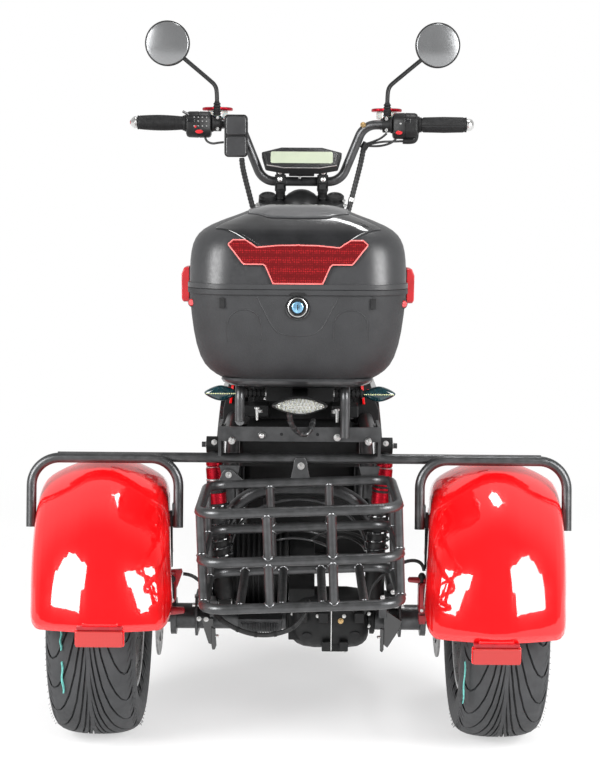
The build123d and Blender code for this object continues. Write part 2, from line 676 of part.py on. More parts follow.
# The bracket under the rack, with a turn signal on a stalk at each end.
with BuildPart() as rear_turn_signals:
    block((-bracket_x, rear_y - 12, 622), (bracket_x, rear_y + 12, rack_z - 8.2))
    for side in sides:
        bar((side * (bracket_x - 2), rear_y, signal_z), (side * 122, rear_y, signal_z), 7)
        with BuildSketch(Plane(origin=(side * 145, rear_y - 9, signal_z), x_dir=(1, 0, 0),
                               z_dir=(0, 1, 0))) as leaf:
            Ellipse(27, 13)
        extrude(leaf.sketch, amount=18)
rear_turn_signals.part.label = "rear_turn_signals"
export_step(rear_turn_signals.part, "parts/rear_turn_signals.step")

# Glands and cables behind the axle: the lamp's lead, a hose to each caliper and the motor's loop.
lead_r = 4.5
hose_r = 3.2
lamp_lead = ((-18, rear_y - 171, 631.7), (-18, rear_y - 166, 607), (-6, rear_y - 138, 586),
             (10, rear_y - 124, 575), (22, rear_y - 118, 590), (24, rear_y - 96, 600))
left_hose = ((-209.8, rear_y - 66, 312), (-196, rear_y - 66, 311), (-181, rear_y - 62, 299),
             (-176, rear_y - 44, 287), (-175, rear_y - 18, 285), (-173, rear_y + 20, 285.5))
right_hose = ((228, rear_y - 70, 322.2), (226, rear_y - 70, 336), (206, rear_y - 70, 343),
              (176, rear_y - 74, 333), (148, rear_y - 78, 312), (131, rear_y - 78, 290),
              (128, rear_y - 74, 264), (122, rear_y - 60, 243), (116, rear_y - 44, 228))
motor_loop = ((-155, rear_y - 67.6, 246), (-153, rear_y - 84, 243), (-132, rear_y - 96, 229),
              (-104, rear_y - 98, 215), (-72, rear_y - 98, 207), (-38, rear_y - 97, 209),
              (-8, rear_y - 97, 221), (10, rear_y - 92, 240), (18, rear_y - 78, 258), (18, rear_y - 59.2, 261.5))
with BuildPart() as rear_cables:
    cable(lamp_lead, lead_r)
    cable(left_hose, hose_r)
    cable(right_hose, hose_r)
    cable(motor_loop, lead_r)
rear_cables.part.label = "rear_cables"
export_step(rear_cables.part, "parts/rear_cables.step")

# --- steering -------------------------------------------------------------------------------
# Stem and two yokes, bored for the fork legs.
low_yoke = 765.0
yoke_half = leg_x + 22
with BuildPart() as fork_yokes:
    bar(on_stem(low_yoke - 8), on_stem(yoke_z - 2), 19.6)
    for height in (low_yoke, yoke_z):
        with BuildSketch(Plane(origin=on_stem(height), x_dir=(1, 0, 0), z_dir=stem_dir)) as yoke:
            with BuildLine():
                Polyline((-yoke_half, 8), (-54, -28), (54, -28), (yoke_half, 8), (yoke_half, 52),
                         (-yoke_half, 52), close=True)
            make_face()
            with Locations((-leg_x, fork_lead), (leg_x, fork_lead)):
                Circle(17.2, mode=Mode.SUBTRACT)
        extrude(yoke.sketch, amount=-24)
fork_yokes.part.label = "fork_yokes"
export_step(fork_yokes.part, "parts/fork_yokes.step")

# Telescopic legs, with the lugs that hold the front spindle.
leg_r = 19.0
lug_x = 66.0
with BuildPart() as fork_legs:
    for side in sides:
        bar(on_stem(560, fork_lead, side * leg_x), on_stem(yoke_z + 12, fork_lead, side * leg_x), 17)
        bar(on_stem(230, fork_lead, side * leg_x), on_stem(570, fork_lead, side * leg_x), leg_r)
        bar((side * lug_x, front_y, axle_z), (side * (leg_x + 22), front_y, axle_z), 24)
        bar((side * (front_hub + 6), front_y, axle_z), (side * lug_x, front_y, axle_z), 17)
    bar((-leg_x - 34, front_y, axle_z), (leg_x + 34, front_y, axle_z), stub_r)
fork_legs.part.label = "fork_legs"
export_step(fork_legs.part, "parts/fork_legs.step")

# Handlebar: held on two risers, bent up and out, with its ends swept back.
bar_points = ((-20, clamp_y, clamp_z), (92, clamp_y, clamp_z), (bend_x, bend_y, grip_z),
              grip_at(bar_end_x))
with BuildPart() as handlebar:
    for side in sides:
        bent_tube([(side * x, y, z) for x, y, z in bar_points], bar_r, 42)
        with BuildSketch(stem_plane.offset(0.3)) as riser:
            with Locations((side * 50, fork_lead)):
                Rectangle(28, 38)
        extrude(riser.sketch, amount=66)
handlebar.part.label = "handlebar"
export_step(handlebar.part, "parts/handlebar.step")

with BuildPart() as grips:
    for side in sides:
        bar(grip_at(side * 272), grip_at(side * 384), 16.5)
        bar(grip_at(side * 384), grip_at(side * 398), 14)
        bar(grip_at(side * 270), grip_at(side * (bar_end_x + 0.3)), bar_r + 0.2, Mode.SUBTRACT)
grips.part.label = "grips"
export_step(grips.part, "parts/grips.step")

with BuildPart() as switch_housings:
    for side in sides:
        bar(grip_at(side * 212), grip_at(side * 270), 27)
        bar(grip_at(side * 210), grip_at(side * 272), bar_r + 0.2, Mode.SUBTRACT)
switch_housings.part.label = "switch_housings"
export_step(switch_housings.part, "parts/switch_housings.step")

# Lever perches clamped beside the switches, and the levers ahead of the grips.
with BuildPart() as brake_levers:
    for side in sides:
        bar(grip_at(side * 190), grip_at(side * 208), 18)
        xs = sorted((side * 186, side * 211.5))
        block((xs[0], bend_y - 4, grip_z - 10), (xs[1], bend_y + 50, grip_z + 14))
        bent_tube((grip_at(side * 206, -34), grip_at(side * 250, -54), grip_at(side * 388, -62)), 6, 60)
        bar(grip_at(side * 180), grip_at(side * 216), bar_r + 0.2, Mode.SUBTRACT)
brake_levers.part.label = "brake_levers"
export_step(brake_levers.part, "parts/brake_levers.step")

# Fluid reservoirs on the perches, with round caps.
tank_y = bend_y + 34.0
with BuildPart() as master_cylinders:
    for side in sides:
        bar((side * 200, tank_y, grip_z + 14.2), (side * 200, tank_y, grip_z + 32), 24)
        bar((side * 200, tank_y, grip_z + 32), (side * 200, tank_y, grip_z + 40), 37)
master_cylinders.part.label = "master_cylinders"
export_step(master_cylinders.part, "parts/master_cylinders.step")

mirror_y = bend_y - 14.0
mirror_x = 315.0
mirror_z = 1344.0
mirror_r = 52.5
with BuildPart() as mirrors:
    for side in sides:
        bent_tube(((side * 199, mirror_y - 3, grip_z + 20), (side * 199, mirror_y, grip_z + 85),
                   (side * 278, mirror_y + 8, mirror_z - 26)), 5, 20)
        bar((side * 199, mirror_y - 3, grip_z + 18.5), (side * 199, mirror_y - 1, grip_z + 52), 9)
        bar((side * mirror_x, mirror_y + 16, mirror_z), (side * mirror_x, mirror_y, mirror_z), mirror_r)
mirrors.part.label = "mirrors"
export_step(mirrors.part, "parts/mirrors.step")

with BuildPart() as mirror_glass:
    for side in sides:
        bar((side * mirror_x, mirror_y, mirror_z), (side * mirror_x, mirror_y - 2, mirror_z), mirror_r - 3)
mirror_glass.part.label = "mirror_glass"
export_step(mirror_glass.part, "parts/mirror_glass.step")

# Instrument housing: a flat hexagon tipped up towards the rider, with its window.
dash_y = rear_y + 900.0
dash_plane = Plane(origin=(0, dash_y, 1082), x_dir=(1, 0, 0), z_dir=(0, -0.75, 0.66))
with BuildPart() as dash_housing:
    with BuildSketch(dash_plane) as outline:
        with BuildLine():
            Polyline((-95, 18), (-48, 34), (48, 34), (95, 18), (85, -24), (42, -34), (-42, -34),
                     (-85, -24), close=True)
        make_face()
    extrude(outline.sketch, amount=-20)
    block((-30, dash_y + 6, 1039), (30, dash_y + 30, 1076))
dash_housing.part.label = "dash_housing"
export_step(dash_housing.part, "parts/dash_housing.step")

with BuildPart() as dash_screen:
    with BuildSketch(dash_plane.offset(0.2)) as window:
        Rectangle(146, 36)
    extrude(window.sketch, amount=2)
dash_screen.part.label = "dash_screen"
export_step(dash_screen.part, "parts/dash_screen.step")

with BuildPart() as control_box:
    block((-181, bend_y - 52, 1081), (-126, bend_y - 21, 1181))
control_box.part.label = "control_box"
export_step(control_box.part, "parts/control_box.step")

# Wrapped looms from the bar down between the fork and the head tube, and the leads that join them.
loom_r = 6.0
wire_r = 2.6
left_loom = ((-140, rear_y + 877, 1079.6), (-139, rear_y + 880, 1062), (-131, rear_y + 888, 1028),
             (-121, rear_y + 896, 990), (-112, rear_y + 906, 954), (-92, rear_y + 922, 922),
             (-66, rear_y + 942, 902), (-50, rear_y + 974, 890), (-44, rear_y + 1012, 880),
             (-36, rear_y + 1056, 874))
right_loom = ((147, rear_y + 930, 1112), (142, rear_y + 934, 1080), (134, rear_y + 937, 1046),
              (125, rear_y + 937, 1010), (116, rear_y + 934, 974), (108, rear_y + 930, 944),
              (92, rear_y + 930, 920), (68, rear_y + 944, 902), (51, rear_y + 976, 889),
              (44, rear_y + 1014, 879), (36, rear_y + 1056, 874))
right_wires = (
    ((199, rear_y + 902, 1140.6), (190, rear_y + 903, 1131), (171, rear_y + 914, 1122),
     (151, rear_y + 927, 1116)),
    ((223, rear_y + 889, 1131.8), (215, rear_y + 889, 1120), (193, rear_y + 903, 1112),
     (170, rear_y + 919, 1110), (151, rear_y + 930, 1112)),
)
left_wire = ((-227, rear_y + 889, 1132.8), (-226, rear_y + 886, 1120), (-210, rear_y + 880, 1112),
             (-194, rear_y + 876, 1115), (-181.9, rear_y + 875, 1116))
with BuildPart() as control_cables:
    cable(left_loom, loom_r)
    cable(right_loom, loom_r)
    bar((145, rear_y + 931, 1105), (153, rear_y + 928, 1118), 9)
    for wire in right_wires:
        cable(wire, wire_r)
    cable(left_wire, wire_r)
control_cables.part.label = "control_cables"
export_step(control_cables.part, "parts/control_cables.step")

# Headlight between the legs, on two ears.
lamp_z = 868.0
lamp_y = on_stem(lamp_z, 82)[1]
with BuildPart() as headlight:
    with BuildSketch(Plane(origin=(0, lamp_y, lamp_z), x_dir=(-1, 0, 0), z_dir=(0, 1, 0))) as bowl_back:
        Circle(46)
    with BuildSketch(Plane(origin=(0, lamp_y + 50, lamp_z), x_dir=(-1, 0, 0), z_dir=(0, 1, 0))) as bowl:
        Circle(78)
    loft()
    bar((0, lamp_y + 50, lamp_z), (0, lamp_y + 84, lamp_z), 82)
    for side in sides:
        xs = sorted((side * 53, side * (leg_x - 17.3)))
        block((xs[0], lamp_y - 60, lamp_z - 14), (xs[1], lamp_y + 60, lamp_z + 14))
headlight.part.label = "headlight"
export_step(headlight.part, "parts/headlight.step")

signal_y = on_stem(lamp_z, fork_lead)[1]
with BuildPart() as front_turn_signals:
    for side in sides:
        bar((side * (leg_x + 17.4), signal_y, lamp_z), (side * 140, signal_y, lamp_z), 7)
        with BuildSketch(Plane(origin=(side * 162, signal_y - 8, lamp_z), x_dir=(1, 0, 0),
                               z_dir=(0, 1, 0))) as leaf:
            Ellipse(26, 12)
        extrude(leaf.sketch, amount=18)
front_turn_signals.part.label = "front_turn_signals"
export_step(front_turn_signals.part, "parts/front_turn_signals.step")

# Front fender, carried by the fork legs.
front_fender_r = 238.0
front_fender_half = 58.0
skin_half = ((front_fender_half, 224), (49, front_fender_r), (48, front_fender_r - 3),
             (front_fender_half - 3, 224))
with BuildPart() as front_fender:
    centre = (0, front_y, axle_z)
    with BuildSketch(Plane(origin=centre, x_dir=(1, 0, 0), z_dir=(0, -1, 0))) as skin:
        with BuildLine():
            Polyline(skin_half[0], skin_half[1], (-skin_half[1][0], skin_half[1][1]),
                     (-skin_half[0][0], skin_half[0][1]), (-skin_half[3][0], skin_half[3][1]),
                     (-skin_half[2][0], skin_half[2][1]), skin_half[2], skin_half[3], close=True)
        make_face()
    revolve(skin.sketch, axis=Axis(centre, (1, 0, 0)), revolution_arc=70)
    revolve(skin.sketch, axis=Axis(centre, (1, 0, 0)), revolution_arc=-48)
    # ears that bolt the fender to the legs
    for side in sides:
        xs = sorted((side * (front_fender_half - 3), side * (leg_x - leg_r - 0.3)))
        foot = on_stem(430, fork_lead)
        block((xs[0], foot[1] - 14, 424), (xs[1], foot[1] + 14, 448))
front_fender.part.label = "front_fender"
export_step(front_fender.part, "parts/front_fender.step")

# Front caliper behind the left leg, square to the disc's edge. Across X from, to; radius from, to; half length
jaws = ((-59.5, -28, 60, 98, 24), (-59.5, -48.5, 50, 110, 30))
with BuildPart() as front_caliper:
    for x_low, x_high, r_low, r_high, half in jaws:
        mount_dir = (0, -sin(radians(48)), cos(radians(48)))
        base = Plane(origin=(0, front_y, axle_z), x_dir=(1, 0, 0), z_dir=mount_dir)
        with BuildSketch(base.offset(r_low)) as jaw:
            with Locations(((x_low + x_high) / 2, 0)):
                Rectangle(x_high - x_low, 2 * half)
        extrude(jaw.sketch, amount=r_high - r_low)
    with BuildSketch(Plane(origin=(-front_disc_x - 7, front_y, axle_z), z_dir=(1, 0, 0))) as swept_disc:
        Circle(disc_r + 5)
    extrude(swept_disc.sketch, amount=14, mode=Mode.SUBTRACT)
front_caliper.part.label = "front_caliper"
export_step(front_caliper.part, "parts/front_caliper.step")
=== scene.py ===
import json
from math import atan2, ceil, cos, degrees, pi, radians, sin, sqrt, tan

import bmesh
import bpy
from mathutils import Matrix, Vector
from mathutils.bvhtree import BVHTree


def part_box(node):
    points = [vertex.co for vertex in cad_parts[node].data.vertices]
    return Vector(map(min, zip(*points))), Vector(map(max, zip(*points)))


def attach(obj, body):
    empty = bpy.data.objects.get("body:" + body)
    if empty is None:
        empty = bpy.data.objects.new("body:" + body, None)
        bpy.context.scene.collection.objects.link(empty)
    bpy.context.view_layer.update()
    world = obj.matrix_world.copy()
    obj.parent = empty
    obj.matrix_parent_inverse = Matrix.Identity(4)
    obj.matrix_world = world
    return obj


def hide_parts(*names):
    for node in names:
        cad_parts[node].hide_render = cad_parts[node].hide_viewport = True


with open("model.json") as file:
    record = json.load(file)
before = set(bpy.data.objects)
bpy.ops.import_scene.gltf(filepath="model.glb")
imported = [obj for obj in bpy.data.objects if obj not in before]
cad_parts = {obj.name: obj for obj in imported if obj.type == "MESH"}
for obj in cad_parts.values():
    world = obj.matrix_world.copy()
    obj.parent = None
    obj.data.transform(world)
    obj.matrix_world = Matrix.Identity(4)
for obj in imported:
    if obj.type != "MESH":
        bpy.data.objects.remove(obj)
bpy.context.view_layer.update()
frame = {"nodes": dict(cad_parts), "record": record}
nodes = frame["nodes"]

mm = 0.001
left, right = -1, 1
xAxis, yAxis, zAxis = Vector((1, 0, 0)), Vector((0, 1, 0)), Vector((0, 0, 1))
# how close points are made one, in metres, and the angle that counts as an edge, in degrees
meshWords = {"pointGap": 2e-6, "solidGap": 1e-5, "edgeAngle": 32}
axleLow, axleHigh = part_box("rear_axle")
rearY = (axleLow.y + axleHigh.y) / 2                  # the rear axle, in metres
axleZ = (axleLow.z + axleHigh.z) / 2 / mm             # height of every axle, in millimetres
frontLow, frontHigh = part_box("front_tyre")
frontAxle = ((frontLow.y + frontHigh.y) / 2 - rearY) / mm


def at(x, y, z):
    # a point in millimetres: X, how far ahead of the rear axle, height over the floor
    return Vector((x * mm, rearY + y * mm, z * mm))


# ---- small tools for making meshes: a shape is a list of points and a list of faces ----

def joined(*shapes):
    points, faces = [], []
    for shapePoints, shapeFaces in shapes:
        offset = len(points)
        points.extend(shapePoints)
        faces.extend(tuple(i + offset for i in face) for face in shapeFaces)
    return points, faces


def mirrored(shape):
    points, faces = shape
    return [Vector((-p.x, p.y, p.z)) for p in points], [tuple(reversed(face)) for face in faces]


def bothSides(shape):
    return joined(shape, mirrored(shape))


def circle(count):
    return [2 * pi * k / count for k in range(count)]


def skin(rings, closeStart=True, closeEnd=True, around=True):
    # faces between rings of points that all have the same count
    count = len(rings[0])
    points = [p for ring in rings for p in ring]
    faces = []
    for row in range(len(rings) - 1):
        for i in range(count if around else count - 1):
            j = (i + 1) % count
            faces.append((row * count + i, row * count + j, (row + 1) * count + j, (row + 1) * count + i))
    if around and closeStart:
        faces.append(tuple(range(count)))
    if around and closeEnd:
        faces.append(tuple((len(rings) - 1) * count + i for i in range(count)))
    return points, faces


def axesFor(direction, up=None):
    out = direction.normalized()
    hint = up if up is not None else zAxis
    if abs(out.dot(hint.normalized())) > 0.98:
        hint = yAxis
    side = hint.cross(out).normalized()
    return side, out.cross(side).normalized(), out


def turned(profile, centre, axis, segments=48):
    # profile: (along the axis, radius) in millimetres
    side, up, out = axesFor(Vector(axis))
    rings = []
    for along, radius in profile:
        rings.append([centre + out * (along * mm)
            + (side * cos(a) + up * sin(a)) * (max(radius, 0.001) * mm)
            for a in circle(segments)])
    return skin(rings, profile[0][1] > 0.01, profile[-1][1] > 0.01)


def turnedRing(profile, centre, axis, segments=64):
    # a closed profile turned into a ring
    side, up, out = axesFor(Vector(axis))
    rings = []
    for a in circle(segments):
        spoke = side * cos(a) + up * sin(a)
        rings.append([centre + out * (along * mm) + spoke * (radius * mm) for along, radius in profile])
    rings.append(rings[0])
    points, faces = skin(rings[:-1], False, False)
    count, last = len(profile), segments - 1
    for i in range(count):
        j = (i + 1) % count
        faces.append((last * count + i, last * count + j, j, i))
    return points, faces


def block(low, high):
    (x0, y0, z0), (x1, y1, z1) = low, high
    points = [at(x, y, z) for z in (z0, z1) for x, y in ((x0, y0), (x1, y0), (x1, y1), (x0, y1))]
    faces = [(3, 2, 1, 0), (4, 5, 6, 7), (0, 1, 5, 4), (1, 2, 6, 5), (2, 3, 7, 6), (3, 0, 4, 7)]
    return points, faces


def sideBlock(side, low, high):
    # a block given for the right side, put on either
    (x0, y0, z0), (x1, y1, z1) = low, high
    xs = sorted((side * x0, side * x1))
    return block((xs[0], y0, z0), (xs[1], y1, z1))


def slab(outline, origin, along, up, thickness):
    # an outline in millimetres on the plane of along and up, made thick along their cross
    out = along.cross(up).normalized() * (thickness * mm)
    base = [origin + along * (a * mm) + up * (b * mm) for a, b in outline]
    count = len(base)
    faces = [tuple(reversed(range(count))), tuple(range(count, 2 * count))]
    faces += [(i, (i + 1) % count, count + (i + 1) % count, count + i) for i in range(count)]
    return base + [p + out for p in base], faces


def plate(outline, spot, thickness):
    # a slab that faces rearwards
    return slab(outline, spot, xAxis, zAxis, thickness)


def roundedOutline(halfX, halfY, corner, steps=5):
    # a rectangle with round corners, as a list of points
    outline = []
    for cornerX, cornerY, start in ((1, 1, 0), (-1, 1, 90), (-1, -1, 180), (1, -1, 270)):
        for i in range(steps + 1):
            a = radians(start + 90 * i / steps)
            outline.append((cornerX * (halfX - corner) + corner * cos(a),
                cornerY * (halfY - corner) + corner * sin(a)))
    return outline


def oval(halfX, halfY):
    return [(halfX * cos(a), halfY * sin(a)) for a in circle(24)]


def smoothLine(points, pieces=10, order=3):
    # points along a NURBS curve through a route
    curve = bpy.data.curves.new("route", "CURVE")
    curve.dimensions = "3D"
    curve.resolution_u = pieces
    spline = curve.splines.new("NURBS")
    spline.points.add(len(points) - 1)
    for slotPoint, p in zip(spline.points, points):
        slotPoint.co = (*p, 1)
    spline.use_endpoint_u = True
    spline.order_u = order
    holder = bpy.data.objects.new("route", curve)
    bpy.context.scene.collection.objects.link(holder)
    bpy.context.view_layer.update()
    mesh = bpy.data.meshes.new_from_object(holder.evaluated_get(bpy.context.evaluated_depsgraph_get()))
    line = [v.co.copy() for v in mesh.vertices]
    bpy.data.objects.remove(holder)
    bpy.data.meshes.remove(mesh)
    return line


def framesAlong(line):
    # a direction, a side and an up at each point, turning as little as they can
    frames = []
    side = None
    for i, p in enumerate(line):
        ahead = (line[min(i + 1, len(line) - 1)] - line[max(i - 1, 0)]).normalized()
        if side is None:
            side = axesFor(ahead)[0]
        side = (side - ahead * side.dot(ahead)).normalized()
        frames.append((p, ahead, side, ahead.cross(side)))
    return frames


def tube(line, radius, sides=14, closed=True):
    # radius in millimetres, or one for each point
    rings = []
    for i, (p, _, side, up) in enumerate(framesAlong(line)):
        r = (radius[i] if isinstance(radius, (list, tuple)) else radius) * mm
        rings.append([p + (side * cos(a) + up * sin(a)) * r
            for a in circle(sides)])
    return skin(rings, closed, closed)


def rod(start, end, radius, sides=20):
    return tube([start, end], radius, sides)


def hexHead(spot, out, across, tall=None, washer=True):
    # a hexagon head with a washer under it and a low dome on top
    tall = tall or across * 0.55
    side, up, ahead = axesFor(Vector(out))
    shapes = []
    base = spot
    if washer:
        shapes.append(turned(((0, across * 0.72), (1.2, across * 0.72), (1.2, 0)), base, ahead, 20))
        base = spot + ahead * 1.2 * mm
    rings = []
    for along, radius in ((0, 0.58), (tall * 0.82, 0.58), (tall, 0.5)):
        rings.append([base + ahead * along * mm + (side * cos(a) + up * sin(a)) * (across * radius * mm)
            for a in circle(6)])
    shapes.append(skin(rings))
    shapes.append(turned(((tall, across * 0.3), (tall + across * 0.12, across * 0.2),
        (tall + across * 0.16, 0)), base, ahead, 16))
    return joined(*shapes)


def capScrew(spot, out, across):
    # a round socket head, hollow in the middle
    half = across / 2
    return turned(((0, half), (half * 0.9, half), (half * 1.05, half * 0.86), (half * 1.05, half * 0.5),
        (half * 0.5, half * 0.45), (half * 0.5, 0)), spot, out, 20)


def bead(ring, thickness, steps=8):
    # a rippled weld bead along a closed ring of points
    count = len(ring)
    rings = []
    for i in range(count):
        ahead = (ring[(i + 1) % count] - ring[i - 1]).normalized()
        side, up, _ = axesFor(ahead)
        swell = thickness * mm * (0.82 + 0.22 * abs(sin(i * 1.7)))
        rings.append([ring[i] + (side * cos(a) + up * sin(a)) * swell
            for a in circle(steps)])
    points, faces = skin(rings, False, False)
    last = (count - 1) * steps
    faces += [(last + k, last + (k + 1) % steps, (k + 1) % steps, k) for k in range(steps)]
    return points, faces


def weldRing(spot, branch, main, branchRadius, mainRadius, thickness=1.5, count=30):
    # where a tube of one radius lands square on another
    n = main.cross(branch).normalized()
    ring = []
    for a in circle(count):
        height = sqrt(max(mainRadius ** 2 - (branchRadius * sin(a)) ** 2, 0.01))
        ring.append(spot + (main * cos(a) + n * sin(a)) * (branchRadius * mm) + branch * (height * mm))
    return bead(ring, thickness)


def piece(name, shape, finish, body="frame", slot=None, bevel=0, steps=2, sharp=35, thick=0):
    # a shape, or a list of them, as an object that rides on a body
    points, faces = joined(*shape) if isinstance(shape, list) else shape
    build = bmesh.new()
    made = [build.verts.new(p) for p in points]
    for face in faces:
        if len(set(face)) == len(face):
            try:
                build.faces.new([made[i] for i in face])
            except ValueError:
                pass
    bmesh.ops.remove_doubles(build, verts=build.verts, dist=meshWords["pointGap"])
    bmesh.ops.recalc_face_normals(build, faces=build.faces)
    mesh = bpy.data.meshes.new(name)
    build.to_mesh(mesh)
    build.free()
    for face in mesh.polygons:
        face.use_smooth = True
    mesh.set_sharp_from_angle(angle=radians(sharp))
    made = bpy.data.objects.new(name, mesh)
    bpy.context.scene.collection.objects.link(made)
    mesh.materials.append(finishes[finish])
    if thick:
        solid = made.modifiers.new("thickness", "SOLIDIFY")
        solid.thickness = thick * mm
        solid.offset = -1
        solid.use_even_offset = True
    if bevel:
        edge = made.modifiers.new("edges", "BEVEL")
        edge.width = bevel * mm
        edge.segments = steps
        edge.limit_method = "ANGLE"
        edge.angle_limit = radians(meshWords["edgeAngle"])
        edge.harden_normals = True
    slot = slot or usualSlot[finish]
    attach(made, body)
    return made

# ---- camera, light and floor ----

print("camera and lights")
view = {"behind": 3000, "height": 1009, "down": 6.6, "roll": 0.45, "lens": 78.07}
camera = bpy.data.objects.new("camera", bpy.data.cameras.new("camera"))
camera.data.lens = view["lens"]
camera.data.sensor_width = 36
camera.data.clip_end = 60
camera.matrix_world = (Matrix.Translation(at(0, -view["behind"], view["height"]))
    @ Matrix.Rotation(radians(90 - view["down"]), 4, "X") @ Matrix.Rotation(radians(view["roll"]), 4, "Z"))
bpy.context.scene.collection.objects.link(camera)
bpy.context.scene.camera = camera
bpy.context.scene.view_settings.view_transform = "Standard"

room = {"fill": 0.66, "behind": 0.12, "ahead": 0.6, "turn": (-0.35, 0.25), "floorTone": 0.93,
    "floorLift": 0.5, "floorFade": (1.0, 2.4), "floorReach": 26.0}
# soft lamps: where, at what, width, height in metres, power in watts
lamps = {"overhead": ((500, 650, 3400), (300, 500, 500), 0.86, 0.5, 22),
    "window_left": ((-2550, -2300, 1850), (-300, 0, 450), 1.75, 2.1, 175),
    "window_right": ((2550, -2300, 1850), (300, 0, 450), 1.75, 2.1, 175)}
world = bpy.data.worlds.new("room")
bpy.context.scene.world = world
world.use_nodes = True
roomNodes, roomLinks = world.node_tree.nodes, world.node_tree.links
rays = roomNodes.new("ShaderNodeLightPath")
seen = roomNodes.new("ShaderNodeMath")
seen.operation = "MAXIMUM"
roomLinks.new(rays.outputs["Is Camera Ray"], seen.inputs[0])
roomLinks.new(rays.outputs["Is Glossy Ray"], seen.inputs[1])
seenThrough = roomNodes.new("ShaderNodeMath")
seenThrough.operation = "MAXIMUM"
roomLinks.new(seen.outputs[0], seenThrough.inputs[0])
roomLinks.new(rays.outputs["Is Transmission Ray"], seenThrough.inputs[1])
strength = roomNodes.new("ShaderNodeMapRange")
strength.inputs["To Min"].default_value = room["fill"]
strength.inputs["To Max"].default_value = 1.0
roomLinks.new(seenThrough.outputs[0], strength.inputs["Value"])
roomLinks.new(strength.outputs["Result"], roomNodes["Background"].inputs["Strength"])
# the room behind the tail is dimmer in reflections
towards = roomNodes.new("ShaderNodeTexCoord")
heading = roomNodes.new("ShaderNodeSeparateXYZ")
roomLinks.new(towards.outputs["Generated"], heading.inputs[0])
dim = roomNodes.new("ShaderNodeMapRange")
dim.interpolation_type = "SMOOTHSTEP"
dim.inputs["From Min"].default_value, dim.inputs["From Max"].default_value = room["turn"]
dim.inputs["To Min"].default_value, dim.inputs["To Max"].default_value = room["behind"], room["ahead"]
roomLinks.new(heading.outputs["Y"], dim.inputs["Value"])
whole = roomNodes.new("ShaderNodeMix")
whole.data_type = "RGBA"
roomLinks.new(rays.outputs["Is Glossy Ray"], whole.inputs["Factor"])
whole.inputs["A"].default_value = (1, 1, 1, 1)
roomLinks.new(dim.outputs["Result"], whole.inputs["B"])
roomLinks.new(whole.outputs["Result"], roomNodes["Background"].inputs["Color"])

for name, (spot, aim, width, height, power) in lamps.items():
    lamp = bpy.data.lights.new(name, "AREA")
    lamp.shape = "RECTANGLE"
    lamp.size = width
    lamp.size_y = height
    lamp.energy = power
    held = bpy.data.objects.new(name, lamp)
    held.location = at(*spot)
    held.rotation_euler = (at(*spot) - at(*aim)).to_track_quat("Z", "Y").to_euler()
    held.visible_camera = False
    bpy.context.scene.collection.objects.link(held)


def patchFloor():
    tiles = 3
    reach = room["floorReach"]
    points = [Vector((reach * (2 * i / tiles - 1), reach * (2 * j / tiles - 1), 0))
        for j in range(tiles + 1) for i in range(tiles + 1)]
    faces = [(j * (tiles + 1) + i, j * (tiles + 1) + i + 1, (j + 1) * (tiles + 1) + i + 1,
        (j + 1) * (tiles + 1) + i) for j in range(tiles) for i in range(tiles)]
    mesh = bpy.data.meshes.new("floor")
    mesh.from_pydata(points, [], faces)
    floorPiece = bpy.data.objects.new("floor", mesh)
    bpy.context.scene.collection.objects.link(floorPiece)
    paper = bpy.data.materials.new("paper")
    paper.use_nodes = True
    nodeSet, links = paper.node_tree.nodes, paper.node_tree.links
    shader = nodeSet["Principled BSDF"]
    shader.inputs["Base Color"].default_value = (room["floorTone"],) * 3 + (1,)
    shader.inputs["Roughness"].default_value = 0.9
    shader.inputs["Specular IOR Level"].default_value = 0.1
    where = nodeSet.new("ShaderNodeTexCoord")
    distance = nodeSet.new("ShaderNodeVectorMath")
    distance.operation = "LENGTH"
    links.new(where.outputs["Object"], distance.inputs[0])
    fade = nodeSet.new("ShaderNodeMapRange")
    fade.interpolation_type = "SMOOTHSTEP"
    fade.inputs["To Min"].default_value = room["floorLift"]
    fade.inputs["From Min"].default_value, fade.inputs["From Max"].default_value = room["floorFade"]
    links.new(distance.outputs["Value"], fade.inputs["Value"])
    bright = nodeSet.new("ShaderNodeEmission")
    bright.inputs["Strength"].default_value = 1.0
    blend = nodeSet.new("ShaderNodeMixShader")
    links.new(fade.outputs["Result"], blend.inputs[0])
    links.new(shader.outputs[0], blend.inputs[1])
    links.new(bright.outputs[0], blend.inputs[2])
    links.new(blend.outputs[0], nodeSet["Material Output"].inputs["Surface"])
    mesh.materials.append(paper)


patchFloor()

# ---- finishes ----

print("finishes")


